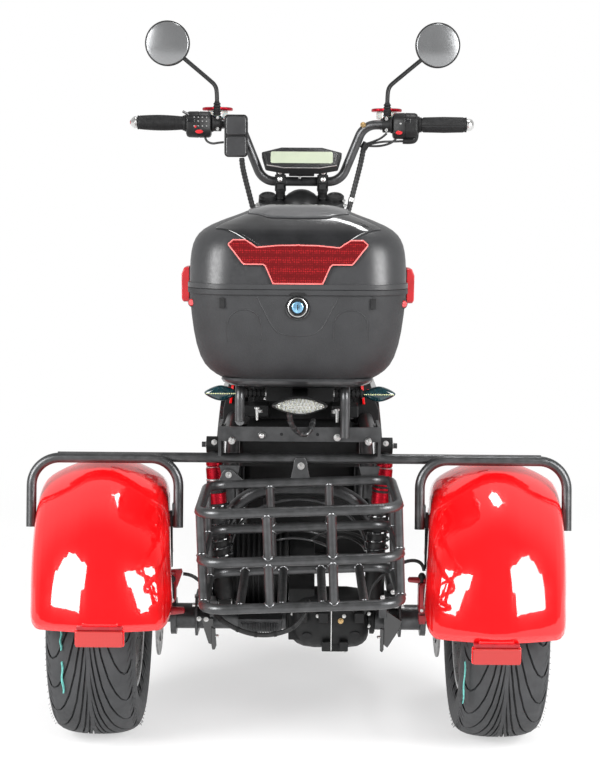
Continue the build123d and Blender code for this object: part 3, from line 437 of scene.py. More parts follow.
class Finish:
    # a material whose colour, gloss and surface are made from noise in the piece's own space
    def __init__(self, name, colour, rough, metal=0.0, **sockets):
        self.made = bpy.data.materials.new(name)
        self.made.use_nodes = True
        self.nodes, self.links = self.made.node_tree.nodes, self.made.node_tree.links
        self.shader = self.nodes["Principled BSDF"]
        self.shader.inputs["Base Color"].default_value = (*colour, 1)
        self.shader.inputs["Roughness"].default_value = rough
        self.shader.inputs["Metallic"].default_value = metal
        for socket, value in sockets.items():
            self.shader.inputs[socket.replace("_", " ")].default_value = value
        self.where = self.nodes.new("ShaderNodeTexCoord").outputs["Object"]
        self.colour = colour
        self.lastBump = None

    def noise(self, scale, detail=3.0, rough=0.55, stretch=None):
        source = self.where
        if stretch:
            mapping = self.nodes.new("ShaderNodeMapping")
            mapping.inputs["Scale"].default_value = stretch
            self.links.new(source, mapping.inputs["Vector"])
            source = mapping.outputs["Vector"]
        texture = self.nodes.new("ShaderNodeTexNoise")
        texture.inputs["Scale"].default_value = scale
        texture.inputs["Detail"].default_value = detail
        texture.inputs["Roughness"].default_value = rough
        self.links.new(source, texture.inputs["Vector"])
        return texture.outputs["Fac"]

    def cells(self, scale, random=1.0):
        texture = self.nodes.new("ShaderNodeTexVoronoi")
        texture.inputs["Scale"].default_value = scale
        texture.inputs["Randomness"].default_value = random
        self.links.new(self.where, texture.inputs["Vector"])
        return texture.outputs["Distance"]

    def ramp(self, value, *stops):
        band = self.nodes.new("ShaderNodeValToRGB")
        while len(band.color_ramp.elements) < len(stops):
            band.color_ramp.elements.new(0.5)
        for element, (spot, tone) in zip(band.color_ramp.elements, stops):
            element.position = spot
            element.color = (*tone, 1) if isinstance(tone, (tuple, list)) else (tone, tone, tone, 1)
        self.links.new(value, band.inputs["Fac"])
        return band.outputs["Color"]

    def paint(self, scale, spread=0.12, detail=4.0, stretch=None):
        # the colour drifts a little lighter and darker
        low = tuple(c * (1 - spread) for c in self.colour)
        high = tuple(min(c * (1 + spread), 1) for c in self.colour)
        self.links.new(self.ramp(self.noise(scale, detail, stretch=stretch), (0.3, low), (0.7, high)),
            self.shader.inputs["Base Color"])
        return self

    def gloss(self, scale, low, high, detail=3.0, stretch=None):
        spread = self.nodes.new("ShaderNodeMapRange")
        spread.inputs["From Min"].default_value, spread.inputs["From Max"].default_value = 0.3, 0.7
        spread.inputs["To Min"].default_value, spread.inputs["To Max"].default_value = low, high
        self.links.new(self.noise(scale, detail, stretch=stretch), spread.inputs["Value"])
        self.links.new(spread.outputs["Result"], self.shader.inputs["Roughness"])
        return self

    def bump(self, value, depth, strength=1.0):
        # depth in millimetres; later bumps add to earlier ones
        raised = self.nodes.new("ShaderNodeBump")
        raised.inputs["Strength"].default_value = strength
        raised.inputs["Distance"].default_value = depth * mm
        self.links.new(value, raised.inputs["Height"])
        if self.lastBump:
            self.links.new(self.lastBump, raised.inputs["Normal"])
        self.lastBump = raised.outputs["Normal"]
        self.links.new(self.lastBump, self.shader.inputs["Normal"])
        return self

    def weave(self, scale):
        # a twill of two tones, turned a quarter from square to square
        mapping = self.nodes.new("ShaderNodeMapping")
        mapping.inputs["Rotation"].default_value = (0, 0, radians(45))
        self.links.new(self.where, mapping.inputs["Vector"])
        squares = self.nodes.new("ShaderNodeTexChecker")
        squares.inputs["Scale"].default_value = scale
        squares.inputs["Color1"].default_value = (0.012, 0.012, 0.013, 1)
        squares.inputs["Color2"].default_value = (0.06, 0.061, 0.064, 1)
        self.links.new(mapping.outputs["Vector"], squares.inputs["Vector"])
        self.links.new(squares.outputs["Color"], self.shader.inputs["Base Color"])
        self.bump(squares.outputs["Fac"], 0.12, 0.5)
        return self


def makeFinishes():
    kept = {}

    def keep(name, *look, **sockets):
        finish = Finish(name, *look, **sockets)
        kept[name] = finish.made
        return finish

    red = keep("redPaint", (0.76, 0.004, 0.006), 0.2, Coat_Weight=1.0, Coat_Roughness=0.015,
        Coat_IOR=1.7, Specular_IOR_Level=0.1)
    red.paint(9, 0.05).bump(red.noise(60, 2), 0.04).gloss(30, 0.16, 0.24)

    tube = keep("blackTube", (0.085, 0.086, 0.088), 0.36, 0.85, Specular_IOR_Level=0.5)
    tube.paint(45, 0.25).gloss(160, 0.3, 0.44).bump(tube.noise(1100, 2), 0.05, 0.6)

    weldSkin = keep("weldSkin", (0.15, 0.151, 0.155), 0.3, 0.85)
    weldSkin.paint(300, 0.4).gloss(300, 0.2, 0.4).bump(weldSkin.noise(700, 3), 0.2)

    cast = keep("castBlack", (0.0085, 0.0088, 0.009), 0.5, Specular_IOR_Level=0.3)
    cast.paint(60, 0.35).gloss(120, 0.4, 0.62).bump(cast.noise(700, 4), 0.18, 0.8)

    anodised = keep("redAnodised", (0.4, 0.006, 0.018), 0.3, 0.8)
    anodised.paint(80, 0.12).gloss(300, 0.22, 0.36, stretch=(1, 1, 8)).bump(anodised.noise(900, 2), 0.02)

    deep = keep("deepRed", (0.32, 0.006, 0.012), 0.4, 0.2, Coat_Weight=0.4, Coat_Roughness=0.2)
    deep.paint(90, 0.25).gloss(120, 0.32, 0.5).bump(deep.noise(500, 3), 0.08)

    lens = keep("redLens", (0.2, 0.006, 0.009), 0.2, Coat_Weight=1.0, Coat_Roughness=0.05)
    lens.links.new(lens.ramp(lens.cells(260, random=0.25), (0.05, (0.4, 0.012, 0.014)),
        (0.3, (0.15, 0.004, 0.006)), (0.55, (0.09, 0.002, 0.003))), lens.shader.inputs["Base Color"])
    lens.bump(lens.cells(260, random=0.25), 0.35, 0.5)

    reflector = keep("paleReflector", (0.42, 0.03, 0.026), 0.35, Coat_Weight=0.3, Coat_Roughness=0.1)
    reflector.links.new(reflector.ramp(reflector.cells(420, random=0.0), (0.0, (0.44, 0.034, 0.03)),
        (0.5, (0.34, 0.02, 0.018))), reflector.shader.inputs["Base Color"])
    reflector.bump(reflector.cells(420, random=0.0), 0.25, 0.5)

    clear = keep("clearLens", (0.93, 0.94, 0.95), 0.04, Transmission_Weight=1.0, IOR=1.46,
        Coat_Weight=0.4, Coat_Roughness=0.02)
    clear.bump(clear.noise(90, 1), 0.03).gloss(60, 0.03, 0.08)

    teal = keep("tealLens", (0.006, 0.03, 0.038), 0.1, Coat_Weight=1.0, Coat_Roughness=0.03)
    teal.paint(120, 0.4).bump(teal.noise(120, 1), 0.05)

    bulb = keep("bulb", (0.62, 0.6, 0.5), 0.3, Coat_Weight=0.8)
    bulb.paint(260, 0.3).bump(bulb.cells(500), 0.1)

    plastic = keep("blackPlastic", (0.0095, 0.0097, 0.01), 0.42, Specular_IOR_Level=0.3)
    plastic.paint(80, 0.25).gloss(200, 0.36, 0.5).bump(plastic.noise(1500, 2), 0.05, 0.5)

    gloss = keep("glossBlack", (0.011, 0.0112, 0.012), 0.12, Coat_Weight=1.0, Coat_Roughness=0.04)
    gloss.paint(30, 0.3).bump(gloss.noise(70, 2), 0.03).gloss(40, 0.1, 0.16)

    grained = keep("grainedPlastic", (0.022, 0.0225, 0.024), 0.58, Specular_IOR_Level=0.4)
    grained.paint(25, 0.16).gloss(240, 0.52, 0.68)
    grained.bump(grained.cells(520), 0.28, 0.55).bump(grained.noise(900, 3), 0.1, 0.5)

    lidPlastic = keep("lidPlastic", (0.024, 0.0245, 0.026), 0.38, Specular_IOR_Level=0.45,
        Coat_Weight=0.25, Coat_Roughness=0.28)
    lidPlastic.paint(20, 0.16).gloss(180, 0.34, 0.48).bump(lidPlastic.noise(1000, 3), 0.06, 0.5)

    greyGloss = keep("glossyGrey", (0.03, 0.0305, 0.032), 0.3, Coat_Weight=0.5, Coat_Roughness=0.12)
    greyGloss.paint(40, 0.2).bump(greyGloss.noise(300, 2), 0.04)

    weave = keep("carbon", (0.03, 0.03, 0.032), 0.3, Coat_Weight=0.8, Coat_Roughness=0.1)
    weave.weave(620)

    # a pale pink for the bead along the lid reflector's bevelled edge: a painted highlight
    edge = keep("highlightEdgePaint", (0.72, 0.16, 0.15), 0.2, Coat_Weight=0.8)
    edge.paint(90, 0.15)

    blue = keep("blueFace", (0.2, 0.42, 0.62), 0.18, 0.6, Coat_Weight=0.5)
    blue.paint(220, 0.5)

    clip = keep("redClip", (0.46, 0.01, 0.015), 0.32, Coat_Weight=0.3, Coat_Roughness=0.15)
    clip.paint(60, 0.14).bump(clip.noise(500, 2), 0.05)

    hide = keep("saddle", (0.014, 0.0142, 0.015), 0.55, Sheen_Weight=0.08)
    hide.paint(35, 0.3).gloss(150, 0.46, 0.62)
    hide.bump(hide.cells(650), 0.35, 0.6).bump(hide.noise(300, 3), 0.12, 0.5)

    rubber = keep("rubber", (0.0095, 0.0096, 0.01), 0.62, Specular_IOR_Level=0.3)
    rubber.paint(90, 0.3).gloss(200, 0.52, 0.7).bump(rubber.noise(800, 3), 0.08, 0.6)

    sleeve = keep("cableSleeve", (0.013, 0.0132, 0.0135), 0.46, Specular_IOR_Level=0.45)
    sleeve.paint(120, 0.3).bump(sleeve.noise(500, 2), 0.08, 0.6)

    tyre = keep("tyre", (0.043, 0.044, 0.046), 0.7, Specular_IOR_Level=0.35)
    tyre.paint(24, 0.16).gloss(90, 0.6, 0.8).bump(tyre.noise(700, 4), 0.14, 0.6)

    alloy = keep("alloy", (0.62, 0.62, 0.62), 0.32, 0.95)
    alloy.paint(40, 0.08).gloss(260, 0.24, 0.42).bump(alloy.noise(600, 3), 0.06, 0.5)

    steel = keep("steel", (0.74, 0.74, 0.73), 0.3, 1.0)
    steel.paint(200, 0.08).gloss(400, 0.26, 0.36).bump(steel.noise(900, 2), 0.008, 0.5)

    discSteel = keep("discSteel", (0.3, 0.3, 0.3), 0.36, 1.0)
    discSteel.paint(120, 0.3).gloss(90, 0.28, 0.5).bump(discSteel.noise(600, 2), 0.02, 0.5)

    brass = keep("brass", (0.72, 0.5, 0.24), 0.3, 1.0)
    brass.paint(200, 0.15).gloss(400, 0.2, 0.4)

    glass = keep("mirrorFace", (0.3, 0.305, 0.31), 0.2, 0.75)
    glass.paint(3, 0.05).gloss(20, 0.16, 0.22)

    screen = keep("screen", (0.33, 0.37, 0.27), 0.4, Coat_Weight=1.0, Coat_Roughness=0.02)
    screen.paint(14, 0.1).bump(screen.noise(20, 1), 0.02)

    glow = keep("ledGlow", (0.75, 0.78, 0.42), 0.25, Coat_Weight=0.6)
    glow.paint(300, 0.25)

    mark = keep("tealMark", (0.12, 0.42, 0.38), 0.6)
    mark.paint(200, 0.3)

    white = keep("whiteMark", (0.75, 0.75, 0.73), 0.5)
    white.paint(200, 0.1)

    resin = keep("paleResin", (0.52, 0.53, 0.5), 0.25, Coat_Weight=0.5, Subsurface_Weight=0.2)
    resin.paint(90, 0.15).bump(resin.noise(200, 2), 0.1)
    return kept


finishes = makeFinishes()
slotFinish = {"red_paint": "redPaint", "black_tube": "blackTube", "cast_black": "castBlack",
    "red_anodised": "redAnodised", "red_lens": "redLens", "clear_lens": "clearLens",
    "teal_lens": "tealLens", "black_plastic": "blackPlastic", "gloss_black": "glossBlack",
    "grained_plastic": "grainedPlastic", "red_clip": "redClip", "saddle": "saddle", "rubber": "rubber",
    "tyre": "tyre", "alloy": "alloy", "steel": "steel", "mirror_face": "mirrorFace", "screen": "screen"}
usualSlot = {finish: slot for slot, finish in slotFinish.items()}
for entry in frame["record"]["subparts"]:
    solid = nodes[entry["node"]]
    solid.data.materials.clear()
    solid.data.materials.append(finishes[slotFinish[entry["material_slot"]]])
    for face in solid.data.polygons:
        face.use_smooth = True
    weld = solid.modifiers.new("weld", "WELD")
    weld.merge_threshold = meshWords["solidGap"]
    split = solid.modifiers.new("corners", "EDGE_SPLIT")
    split.split_angle = radians(meshWords["edgeAngle"])

# ---- tyres, rims and discs ----

print("wheels")
wheel = {"radius": 217, "pitches": 22, "groove": 3.6, "widestGroove": 0.42, "grooveDepth": 5.5,
    "sipeDepth": 2.2, "land": 9, "hairs": 90, "drawnWidth": 160}
# half of a 160 mm tyre: X, radius
tyreHalf = ((0, 217), (14, 216.9), (28, 216), (42, 214.2), (54, 211.5), (64, 207.6), (71, 202.5),
    (76, 195.5), (79, 187), (80, 177), (79.4, 166), (77, 155), (72.5, 145), (67, 138), (62.5, 133.5),
    (62, 127))
grooveRun = ((2, -46), (6, -4), (14, 56), (24, 112), (36, 158), (47, 188), (56, 205), (63, 211),
    (68, 208), (72, 198), (75, 187))


def between(pairs, x):
    # a smooth value through a short list of (x, value)
    if x <= pairs[0][0]:
        return pairs[0][1]
    for (x0, v0), (x1, v1) in zip(pairs, pairs[1:]):
        if x <= x1:
            t = (x - x0) / (x1 - x0)
            return v0 + (v1 - v0) * t
    return pairs[-1][1]


def divided(pairs, countFor):
    # a line of pairs with more points on it: countFor takes a stretch's first X and its length
    fine = []
    for (x0, v0), (x1, v1) in zip(pairs, pairs[1:]):
        count = countFor(x0, sqrt((x1 - x0) ** 2 + (v1 - v0) ** 2))
        fine += [(x0 + (x1 - x0) * i / count, v0 + (v1 - v0) * i / count) for i in range(count)]
    return fine + [pairs[-1]]


def tyreShape(centre, width):
    narrow = width / wheel["drawnWidth"]
    fine = divided(tyreHalf, lambda x, stretch: 5 if x < 76 else 2)
    pitch = 2 * pi / wheel["pitches"]
    # columns over one pitch: how much of the groove's width, and how deep
    columns = ((-0.5, 0), (-0.36, 1), (0.36, 1), (0.5, 0))
    land = wheel["land"]
    shapes = []
    for side in (left, right):
        rings = []
        for x, radius in fine:
            run = between(grooveRun, x)
            slope = (between(grooveRun, x + 1) - between(grooveRun, x - 1)) / 2
            width0 = wheel["groove"] * sqrt(1 + slope * slope) / wheel["radius"]
            width0 = min(width0, pitch * wheel["widestGroove"])
            open0 = max(0.0, min(1.0, (x - 3) / 5)) * max(0.0, min(1.0, (75.5 - x) / 3))
            shoulder = max(0.0, min(1.0, (x - 66) / 4)) * max(0.0, min(1.0, (79.6 - x) / 2))
            offset = run / wheel["radius"] + (0 if side == left else pitch * 0.5)
            ring = []
            for p in range(wheel["pitches"]):
                base = p * pitch + offset
                places = [(base + share * width0, radius - deep * open0 * wheel["grooveDepth"])
                    for share, deep in columns]
                rest = pitch - width0
                for k in range(1, land):
                    dip = wheel["sipeDepth"] * shoulder if k % 3 == 0 else 0
                    places.append((base + width0 / 2 + rest * k / land, radius - dip))
                for angle, r in places:
                    ring.append(centre + Vector((side * x * narrow, r * cos(angle), r * sin(angle))) * mm)
            rings.append(ring)
        shapes.append(skin(rings, False, False))
    inside = ((62, 127), (40, 128), (0, 128))
    for side in (left, right):
        rings = [[centre + Vector((side * x * narrow, r * cos(a), r * sin(a))) * mm
            for a in circle(72)] for x, r in inside]
        shapes.append(skin(rings, False, False))
    return joined(*shapes)


def hairShape(centre, width, seed):
    # fine moulding hairs at the shoulders
    shapes = []
    for i in range(wheel["hairs"]):
        for side in (left, right):
            a = 2 * pi * (i + 0.4 * sin(i * 7 + seed)) / wheel["hairs"]
            spoke = Vector((0, cos(a), sin(a)))
            x = side * (72 + 5 * abs(sin(i * 3.1 + seed))) * width / wheel["drawnWidth"]
            root = centre + (spoke * (199 - 3 * abs(sin(i * 5.3))) + Vector((x, 0, 0))) * mm
            tip = root + (spoke * 3.4 + Vector((side * 1.8, 0, 0))) * mm
            shapes.append(rod(root, tip, 0.45, 4))
    return joined(*shapes)


rim = {"spokes": 5, "nuts": 5}
spokeSection = ((-1, -0.7), (-0.7, -1), (0.7, -1), (1, -0.7), (1, 0.7), (0.7, 1), (-0.7, 1), (-1, 0.7))
rimBarrel = ((66.5, 133.5), (68.5, 131), (66, 127), (60, 124), (40, 118), (20, 115), (0, 114.5),
    (-20, 115), (-40, 118), (-60, 124), (-66, 127), (-68.5, 131), (-66.5, 133.5), (-62, 132), (-61, 127),
    (0, 121), (61, 127), (62, 132))


def rimShape(centre, width, outward):
    narrow = width / wheel["drawnWidth"]
    shapes = [turnedRing([(x * narrow, r) for x, r in rimBarrel], centre, (1, 0, 0), 96)]
    face = outward * 34 * narrow
    for k in range(rim["spokes"]):
        for lean in (-0.13, 0.13):
            a = 2 * pi * k / rim["spokes"] + pi / 2
            rings = []
            for r, halfWide, halfThick, out in ((24, 13, 15, 0.1), (50, 8.5, 11, 0.35),
                    (85, 7.5, 9, 0.7), (117, 9, 10, 0.95)):
                bend = a + lean * (r / 117) ** 1.5 * 1.5
                spoke = Vector((0, cos(bend), sin(bend)))
                turnWay = Vector((0, -sin(bend), cos(bend)))
                mid = centre + (spoke * r + Vector((face * out, 0, 0))) * mm
                rings.append([mid + (turnWay * (dx * halfWide) + Vector((dy * halfThick * narrow, 0, 0)))
                    * mm for dx, dy in spokeSection])
            shapes.append(skin(rings))
    shapes.append(turned(((-30 * narrow, 0), (-30 * narrow, 27), (-22 * narrow, 33), (22 * narrow, 33),
        (30 * narrow, 27), (30 * narrow, 0)), centre, (outward, 0, 0), 48))
    return joined(*shapes)


def nutShape(centre, outward, spot, radius, across):
    shapes = []
    for k in range(rim["nuts"]):
        a = 2 * pi * (k + 0.5) / rim["nuts"] + pi / 2
        shapes.append(hexHead(centre + Vector((outward * spot, radius * cos(a), radius * sin(a))) * mm,
            (outward, 0, 0), across))
    return joined(*shapes)


def discShape(centre, low, high, radius, inner):
    # a brake disc with slots, and a carrier with five arms
    shapes = []
    count = 60
    for near, far in ((inner, inner + 5), (radius - 5, radius)):
        shapes.append(turnedRing(((low, near), (high, near), (high, far), (low, far)), centre, (1, 0, 0),
            count))
    for k in range(count // 2):
        a0 = 2 * pi * k / (count // 2)
        a1 = a0 + 2 * pi / (count // 2) * 0.72
        ring0, ring1 = [], []
        for x in (low, high):
            for r, twist in ((inner + 4, 0), (radius - 4, 0.12)):
                for a in (a0 + twist, a1 + twist):
                    (ring0 if x == low else ring1).append(centre + Vector((x, r * cos(a), r * sin(a))) * mm)
        order = (0, 1, 3, 2)
        shapes.append(skin([[ring0[i] for i in order], [ring1[i] for i in order]]))
    for a in circle(5):
        spoke, turnWay = Vector((0, cos(a), sin(a))), Vector((0, -sin(a), cos(a)))
        rings = []
        for x in (low + 0.3, high - 0.3):
            rings.append([centre + Vector((x, 0, 0)) * mm + (spoke * r + turnWay * w) * mm
                for r, w in ((24, -12), (inner + 3, -9), (inner + 3, 9), (24, 12))])
        shapes.append(skin(rings))
    shapes.append(turnedRing(((low, 18), (high, 18), (high, 30), (low, 30)), centre, (1, 0, 0), 48))
    return joined(*shapes)


wheels = (("rear_left", -365, 0, 157, "rear_wheel_left", left, 73),
    ("rear_right", 365, 0, 157, "rear_wheel_right", right, 73),
    ("front", 0, frontAxle, 110, "front_wheel", left, 88))
for name, x, y, width, body, outward, discRadius in wheels:
    hub = at(x, y, axleZ)
    tyrePiece = piece(name + "_tread", tyreShape(hub, width), "tyre", body, sharp=28)
    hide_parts(name + "_tyre")
    piece(name + "_hairs", hairShape(hub, width, abs(x)), "tyre", body)
    rimPiece = piece(name + "_spokes", rimShape(hub, width, outward), "alloy", body, bevel=1.2)
    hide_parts(name + "_rim")
    if name != "front":
        piece(name + "_cap", turned(((28, 26), (42, 24), (46, 18), (46.5, 0)), hub, (outward, 0, 0), 40),
            "blackPlastic", body, bevel=0.8)
        piece(name + "_nuts", nutShape(hub, outward, 25, 29.5, 8), "steel", body)
    low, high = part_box(name + "_disc")
    discPiece = piece(name + "_brakeDisc", discShape(at(x / 60, y, axleZ), low.x / mm, high.x / mm,
        discRadius, 48), "discSteel", body, "steel", bevel=0.3, steps=1)
    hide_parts(name + "_disc")

# paint lines left on the rear tyres' treads
lines = []
for x, start, end in ((-412, -0.13, 0.03), (-411, 0.13, 0.42), (-322, -0.2, -0.05)):
    line = [at(x + 1.2 * sin(i), -218.0 * cos(start + (end - start) * i / 9),
        axleZ - 218.0 * sin(start + (end - start) * i / 9)) for i in range(10)]
    lines.append(line)
rightLine = [at(290 + 0.8 * sin(i), -217.6 * cos(0.1 + 0.4 * i / 9),
    axleZ - 217.6 * sin(0.1 + 0.4 * i / 9)) for i in range(10)]


def ribbon(line, wide, out):
    rings = []
    for p in line:
        rings.append([p + Vector((dx * wide / 2, 0, 0)) * mm + (p - out).normalized() * lift * mm
            for dx, lift in ((-1, -6), (1, -6), (1, 0.1), (-1, 0.1))])
    return skin(rings)


piece("leftTyre_lines", [ribbon(line, 1.8, at(-362, 0, axleZ)) for line in lines], "tealMark",
    "rear_wheel_left", "teal_lens")
piece("rightTyre_lines", ribbon(rightLine, 1.6, at(362, 0, axleZ)), "tealMark", "rear_wheel_right",
    "teal_lens")

# ---- fenders ----

print("fenders")
# middles and height in millimetres, ends in degrees from the top; rolledFrom and bowedFrom: where the
# edge turns down and where the ends bow in
fender = {"middle": {left: 357, right: 360}, "tailMiddle": 342, "tailRun": 72, "centreZ": 227,
    "tail": {left: 83.2, right: 85.8}, "front": 80, "steps": 64, "wide": 1.02, "tailFlare": 0.03,
    "frontNarrow": 0.23, "rolledFrom": 96, "rolledOver": 21, "bowedFrom": 240, "bowedOver": 40}
# half of the cross-section: X from the fender's middle, radius
fenderHalf = ((0, 287.4), (15, 286.6), (30, 283.8), (45, 279), (60, 273.2), (74, 267.2), (86, 261),
    (96, 255), (104, 248.6), (110, 241), (114, 232), (116.4, 221), (117, 209), (117, 196))


def fenderShape(side):
    # rounded lower corners: the ends of the arc bow in towards the sides
    section = [(-x, r) for x, r in reversed(fenderHalf[1:])] + list(fenderHalf)
    fine = divided(section, lambda x, stretch: 3)
    rings = []
    for i in range(fender["steps"] + 1):
        t = i / fender["steps"]
        ring = []
        for x, r in fine:
            edge = max(0.0, (abs(x) - fender["rolledFrom"]) / fender["rolledOver"])
            trim = 5 * edge ** 2.2 + 7 * max(0.0, (fender["bowedFrom"] - r) / fender["bowedOver"]) ** 1.3
            tail = -(fender["tail"][side] - trim)
            front = fender["front"] - trim
            a = radians(tail + (front - tail) * t)
            back = min(abs(degrees(a)) / fender["tailRun"], 1)
            middle = fender["middle"][side] + (fender["tailMiddle"] - fender["middle"][side]) * back
            wide = fender["wide"] + (fender["tailFlare"] * back if a < 0 else -fender["frontNarrow"] * sin(a))
            ring.append(at(side * middle + x * wide, r * sin(a), fender["centreZ"] + r * cos(a)))
        rings.append(ring)
    return skin(rings, around=False)


for side, name in ((left, "fender_left"), (right, "fender_right")):
    shell = piece(name + "_shell", fenderShape(side), "redPaint", thick=3, sharp=60)
    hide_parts(name)

# ---- top box ----

print("top box")
boxWords = {"share": 0.972, "shift": -5, "corner": 24, "lensThick": 5.0, "seam": 838.0, "wall": 3.0,
    "rim": 198.0, "rimThick": 5, "rimCorner": 80, "pinY": 206, "pinX": 72.0, "crest": 979.5}
seam, boxWall, rimHalf = boxWords["seam"], boxWords["wall"], boxWords["rim"]
# height, half width, half length, corner radius
tubSections = ((673.5, 128, 136, 56), (678, 140, 147, 60), (684, 150, 156, 64), (692, 160, 165, 68),
    (702, 168.5, 172, 71), (716, 176, 178.5, 73.5), (738, 183, 184, 75), (762, 187.8, 187.8, 76.5),
    (790, 191.5, 191, 77), (815, 194, 193.6, 77.5), (838, 195, 195, 78))
lidSections = ((838.5, 195, 195, 78), (860, 195, 191.5, 78), (885, 194.2, 186, 78),
    (900, 192.5, 182.5, 77.5), (912, 189.8, 178.5, 76.5), (922, 185.5, 174, 75), (930, 180, 168.5, 72.5),
    (938, 171, 161.5, 69), (946, 157, 152.5, 65), (953, 140, 143, 61), (960, 120, 132.5, 56),
    (966, 104, 122, 52), (971.5, 90, 111, 47), (976, 74, 98, 41), (979, 56, 83, 33), (979.5, 40, 60, 24))


def boxAt(x, y, z):
    return at(x * boxWords["share"] + boxWords["shift"], y, z)


def boxRing(height, halfX, halfY, corner, inset=0.0):
    return [boxAt(x, y, height) for x, y in roundedOutline(halfX - inset, halfY - inset,
        max(corner - inset, 4), boxWords["corner"] // 2)]


def shellShape(sections, openTop):
    outer = [boxRing(*section) for section in sections]
    inner = []
    for height, halfX, halfY, corner in sections:
        if openTop:
            height = max(height, sections[0][0] + boxWall)
        else:
            height = min(height, sections[-1][0] - boxWall)
        inner.append(boxRing(height, halfX, halfY, corner, boxWall))
    return skin(outer + inner[::-1] if openTop else outer[::-1] + inner)


def bandShape(low, high, half, thick, corner):
    rings = []
    for height, inset in ((low, 0.6), (low + 0.6, 0), (high - 0.6, 0), (high, 0.6), (high, thick),
            (low, thick)):
        rings.append(boxRing(height, half, half, corner, inset))
    return skin(rings + rings[:1], False, False)


tubShape = shellShape(tubSections, True)
lidShape = shellShape(lidSections, False)


def knuckleShapes():
    shapes = {"tub": [], "lid": []}
    pinY = boxWords["pinY"]
    for side in (left, right):
        middleX = side * boxWords["pinX"]
        for offset in (-17.0, 17.0):
            shapes["tub"].append(rod(at(middleX + offset - 6, pinY, seam),
                at(middleX + offset + 6, pinY, seam), 6, 24))
            shapes["tub"].append(block((middleX + offset - 6, rimHalf - 2, seam - 8),
                (middleX + offset + 6, pinY - 1, seam - 0.3)))
        shapes["tub"].append(rod(at(middleX - 24.5, pinY, seam), at(middleX + 24.5, pinY, seam), 2.6, 16))
        shapes["lid"].append(rod(at(middleX - 10.5, pinY, seam), at(middleX + 10.5, pinY, seam), 6, 24))
        shapes["lid"].append(block((middleX - 10.5, rimHalf - 2, seam + 0.5),
            (middleX + 10.5, pinY - 1, seam + 8)))
    return shapes


knuckles = knuckleShapes()
# the plate that stands on the rack, with round corners
standRings = []
for height, inset in ((664.4, 16), (665.5, 12), (671, 3), (676, 0), (680, 2)):
    standRings.append([boxAt(x, y - 10, height) for x, y in roundedOutline(138 - inset, 142 - inset, 40, 8)])
tubRim = bandShape(seam - 9, seam, rimHalf, boxWords["rimThick"], boxWords["rimCorner"])
lidRim = bandShape(seam + 0.5, seam + 9.5, rimHalf, boxWords["rimThick"], boxWords["rimCorner"])
tubPiece = piece("tub", [tubShape, tubRim] + knuckles["tub"], "grainedPlastic", sharp=40)
piece("tub_stand", skin(standRings), "glossyGrey", slot="grained_plastic", sharp=50)
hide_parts("box_tub")
lidPiece = piece("lid", [lidShape, lidRim] + knuckles["lid"], "lidPlastic", "box_lid", "grained_plastic",
    sharp=40)
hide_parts("box_lid")

# the line up the lid's back at X 0, from the seam over the crest
backLine = [(-halfY, height) for height, _, halfY, _ in lidSections] + [(-20, 979.5), (60, 979.5), (120, 977)]
backRun = [0.0]
for (y0, z0), (y1, z1) in zip(backLine, backLine[1:]):
    backRun.append(backRun[-1] + sqrt((y1 - y0) ** 2 + (z1 - z0) ** 2))
lidTree = BVHTree.FromPolygons(*lidShape)
tubTree = BVHTree.FromPolygons(*tubShape)


def runAt(height):
    heights = [z for _, z in backLine[:len(lidSections)]]
    return between(list(zip(heights, backRun)), height)


def onLid(x, run, proud=0.0):
    spotY, nextY = (between(list(zip(backRun, [y for y, _ in backLine])), place) for place in (run, run + 3))
    spotZ, nextZ = (between(list(zip(backRun, [z for _, z in backLine])), place) for place in (run, run + 3))
    out = Vector((0, spotZ - nextZ, nextY - spotY)).normalized()
    start = boxAt(x, spotY, spotZ) + out * 0.06
    hit, normal, _, _ = lidTree.ray_cast(start, -out)
    if hit is None:
        hit, normal = boxAt(x, spotY, spotZ), out
    if normal.dot(out) < 0:
        normal = -normal
    return hit + normal * (proud * mm)


def onTub(x, height, proud=0.0):
    hit, normal, _, _ = tubTree.ray_cast(boxAt(x, -260, height), yAxis)
    if normal.y > 0:
        normal = -normal
    return hit + normal * (proud * mm)


def lidPatch(lower, upper, columns, rows, proud):
    # lower and upper: (X, run) from left to right over the same X
    xs = sorted({x for x, _ in lower} | {x for x, _ in upper})
    fine = []
    for x0, x1 in zip(xs, xs[1:]):
        count = max(1, ceil((x1 - x0) / (xs[-1] - xs[0]) * columns))
        fine += [x0 + (x1 - x0) * i / count for i in range(count)]
    fine.append(xs[-1])
    rings = []
    for x in fine:
        low, high = between(lower, x), between(upper, x)
        rings.append([onLid(x, low + (high - low) * i / rows, proud) for i in range(rows + 1)])
    return skin(rings, around=False)


def bothHalves(half):
    # (X, height) pairs for the right half made into (X, run) pairs for both
    whole = [(-x, z) for x, z in reversed(half) if x > 0] + list(half)
    return [(x, runAt(z)) for x, z in whole]


lensLower = ((0, 847.8), (43.5, 847.8), (57, 877), (61, 880), (95, 880), (99, 884), (122, 912))
lensUpper = ((0, 912), (35, 911.4), (73, 908), (93, 920), (114, 920), (122, 913.5))
panelLower = ((0, 913.5), (35, 912.9), (73.5, 909.5), (94, 921.5), (146, 948.5))
panelUpper = ((0, 956.5), (48, 957.2), (56, 958.5), (92, 969.5), (118, 961), (146, 949.5))
lens = piece("lidReflector", lidPatch(bothHalves(lensLower), bothHalves(lensUpper), 60, 12, 0.3),
    "redLens", "box_lid", thick=boxWords["lensThick"], sharp=40)
lens.modifiers["thickness"].offset = 1
edgeWork = lens.modifiers.new("edges", "BEVEL")
edgeWork.width = 1.4 * mm
edgeWork.segments = 2
edgeWork.limit_method = "ANGLE"
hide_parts("box_reflector")


def lidBead(halfs, proud, radius):
    return tube([onLid(x, run, proud) for x, run in halfs], radius, 8)


def densified(pairs, step=4.0):
    return divided(pairs, lambda x, stretch: max(1, ceil(stretch / step)))
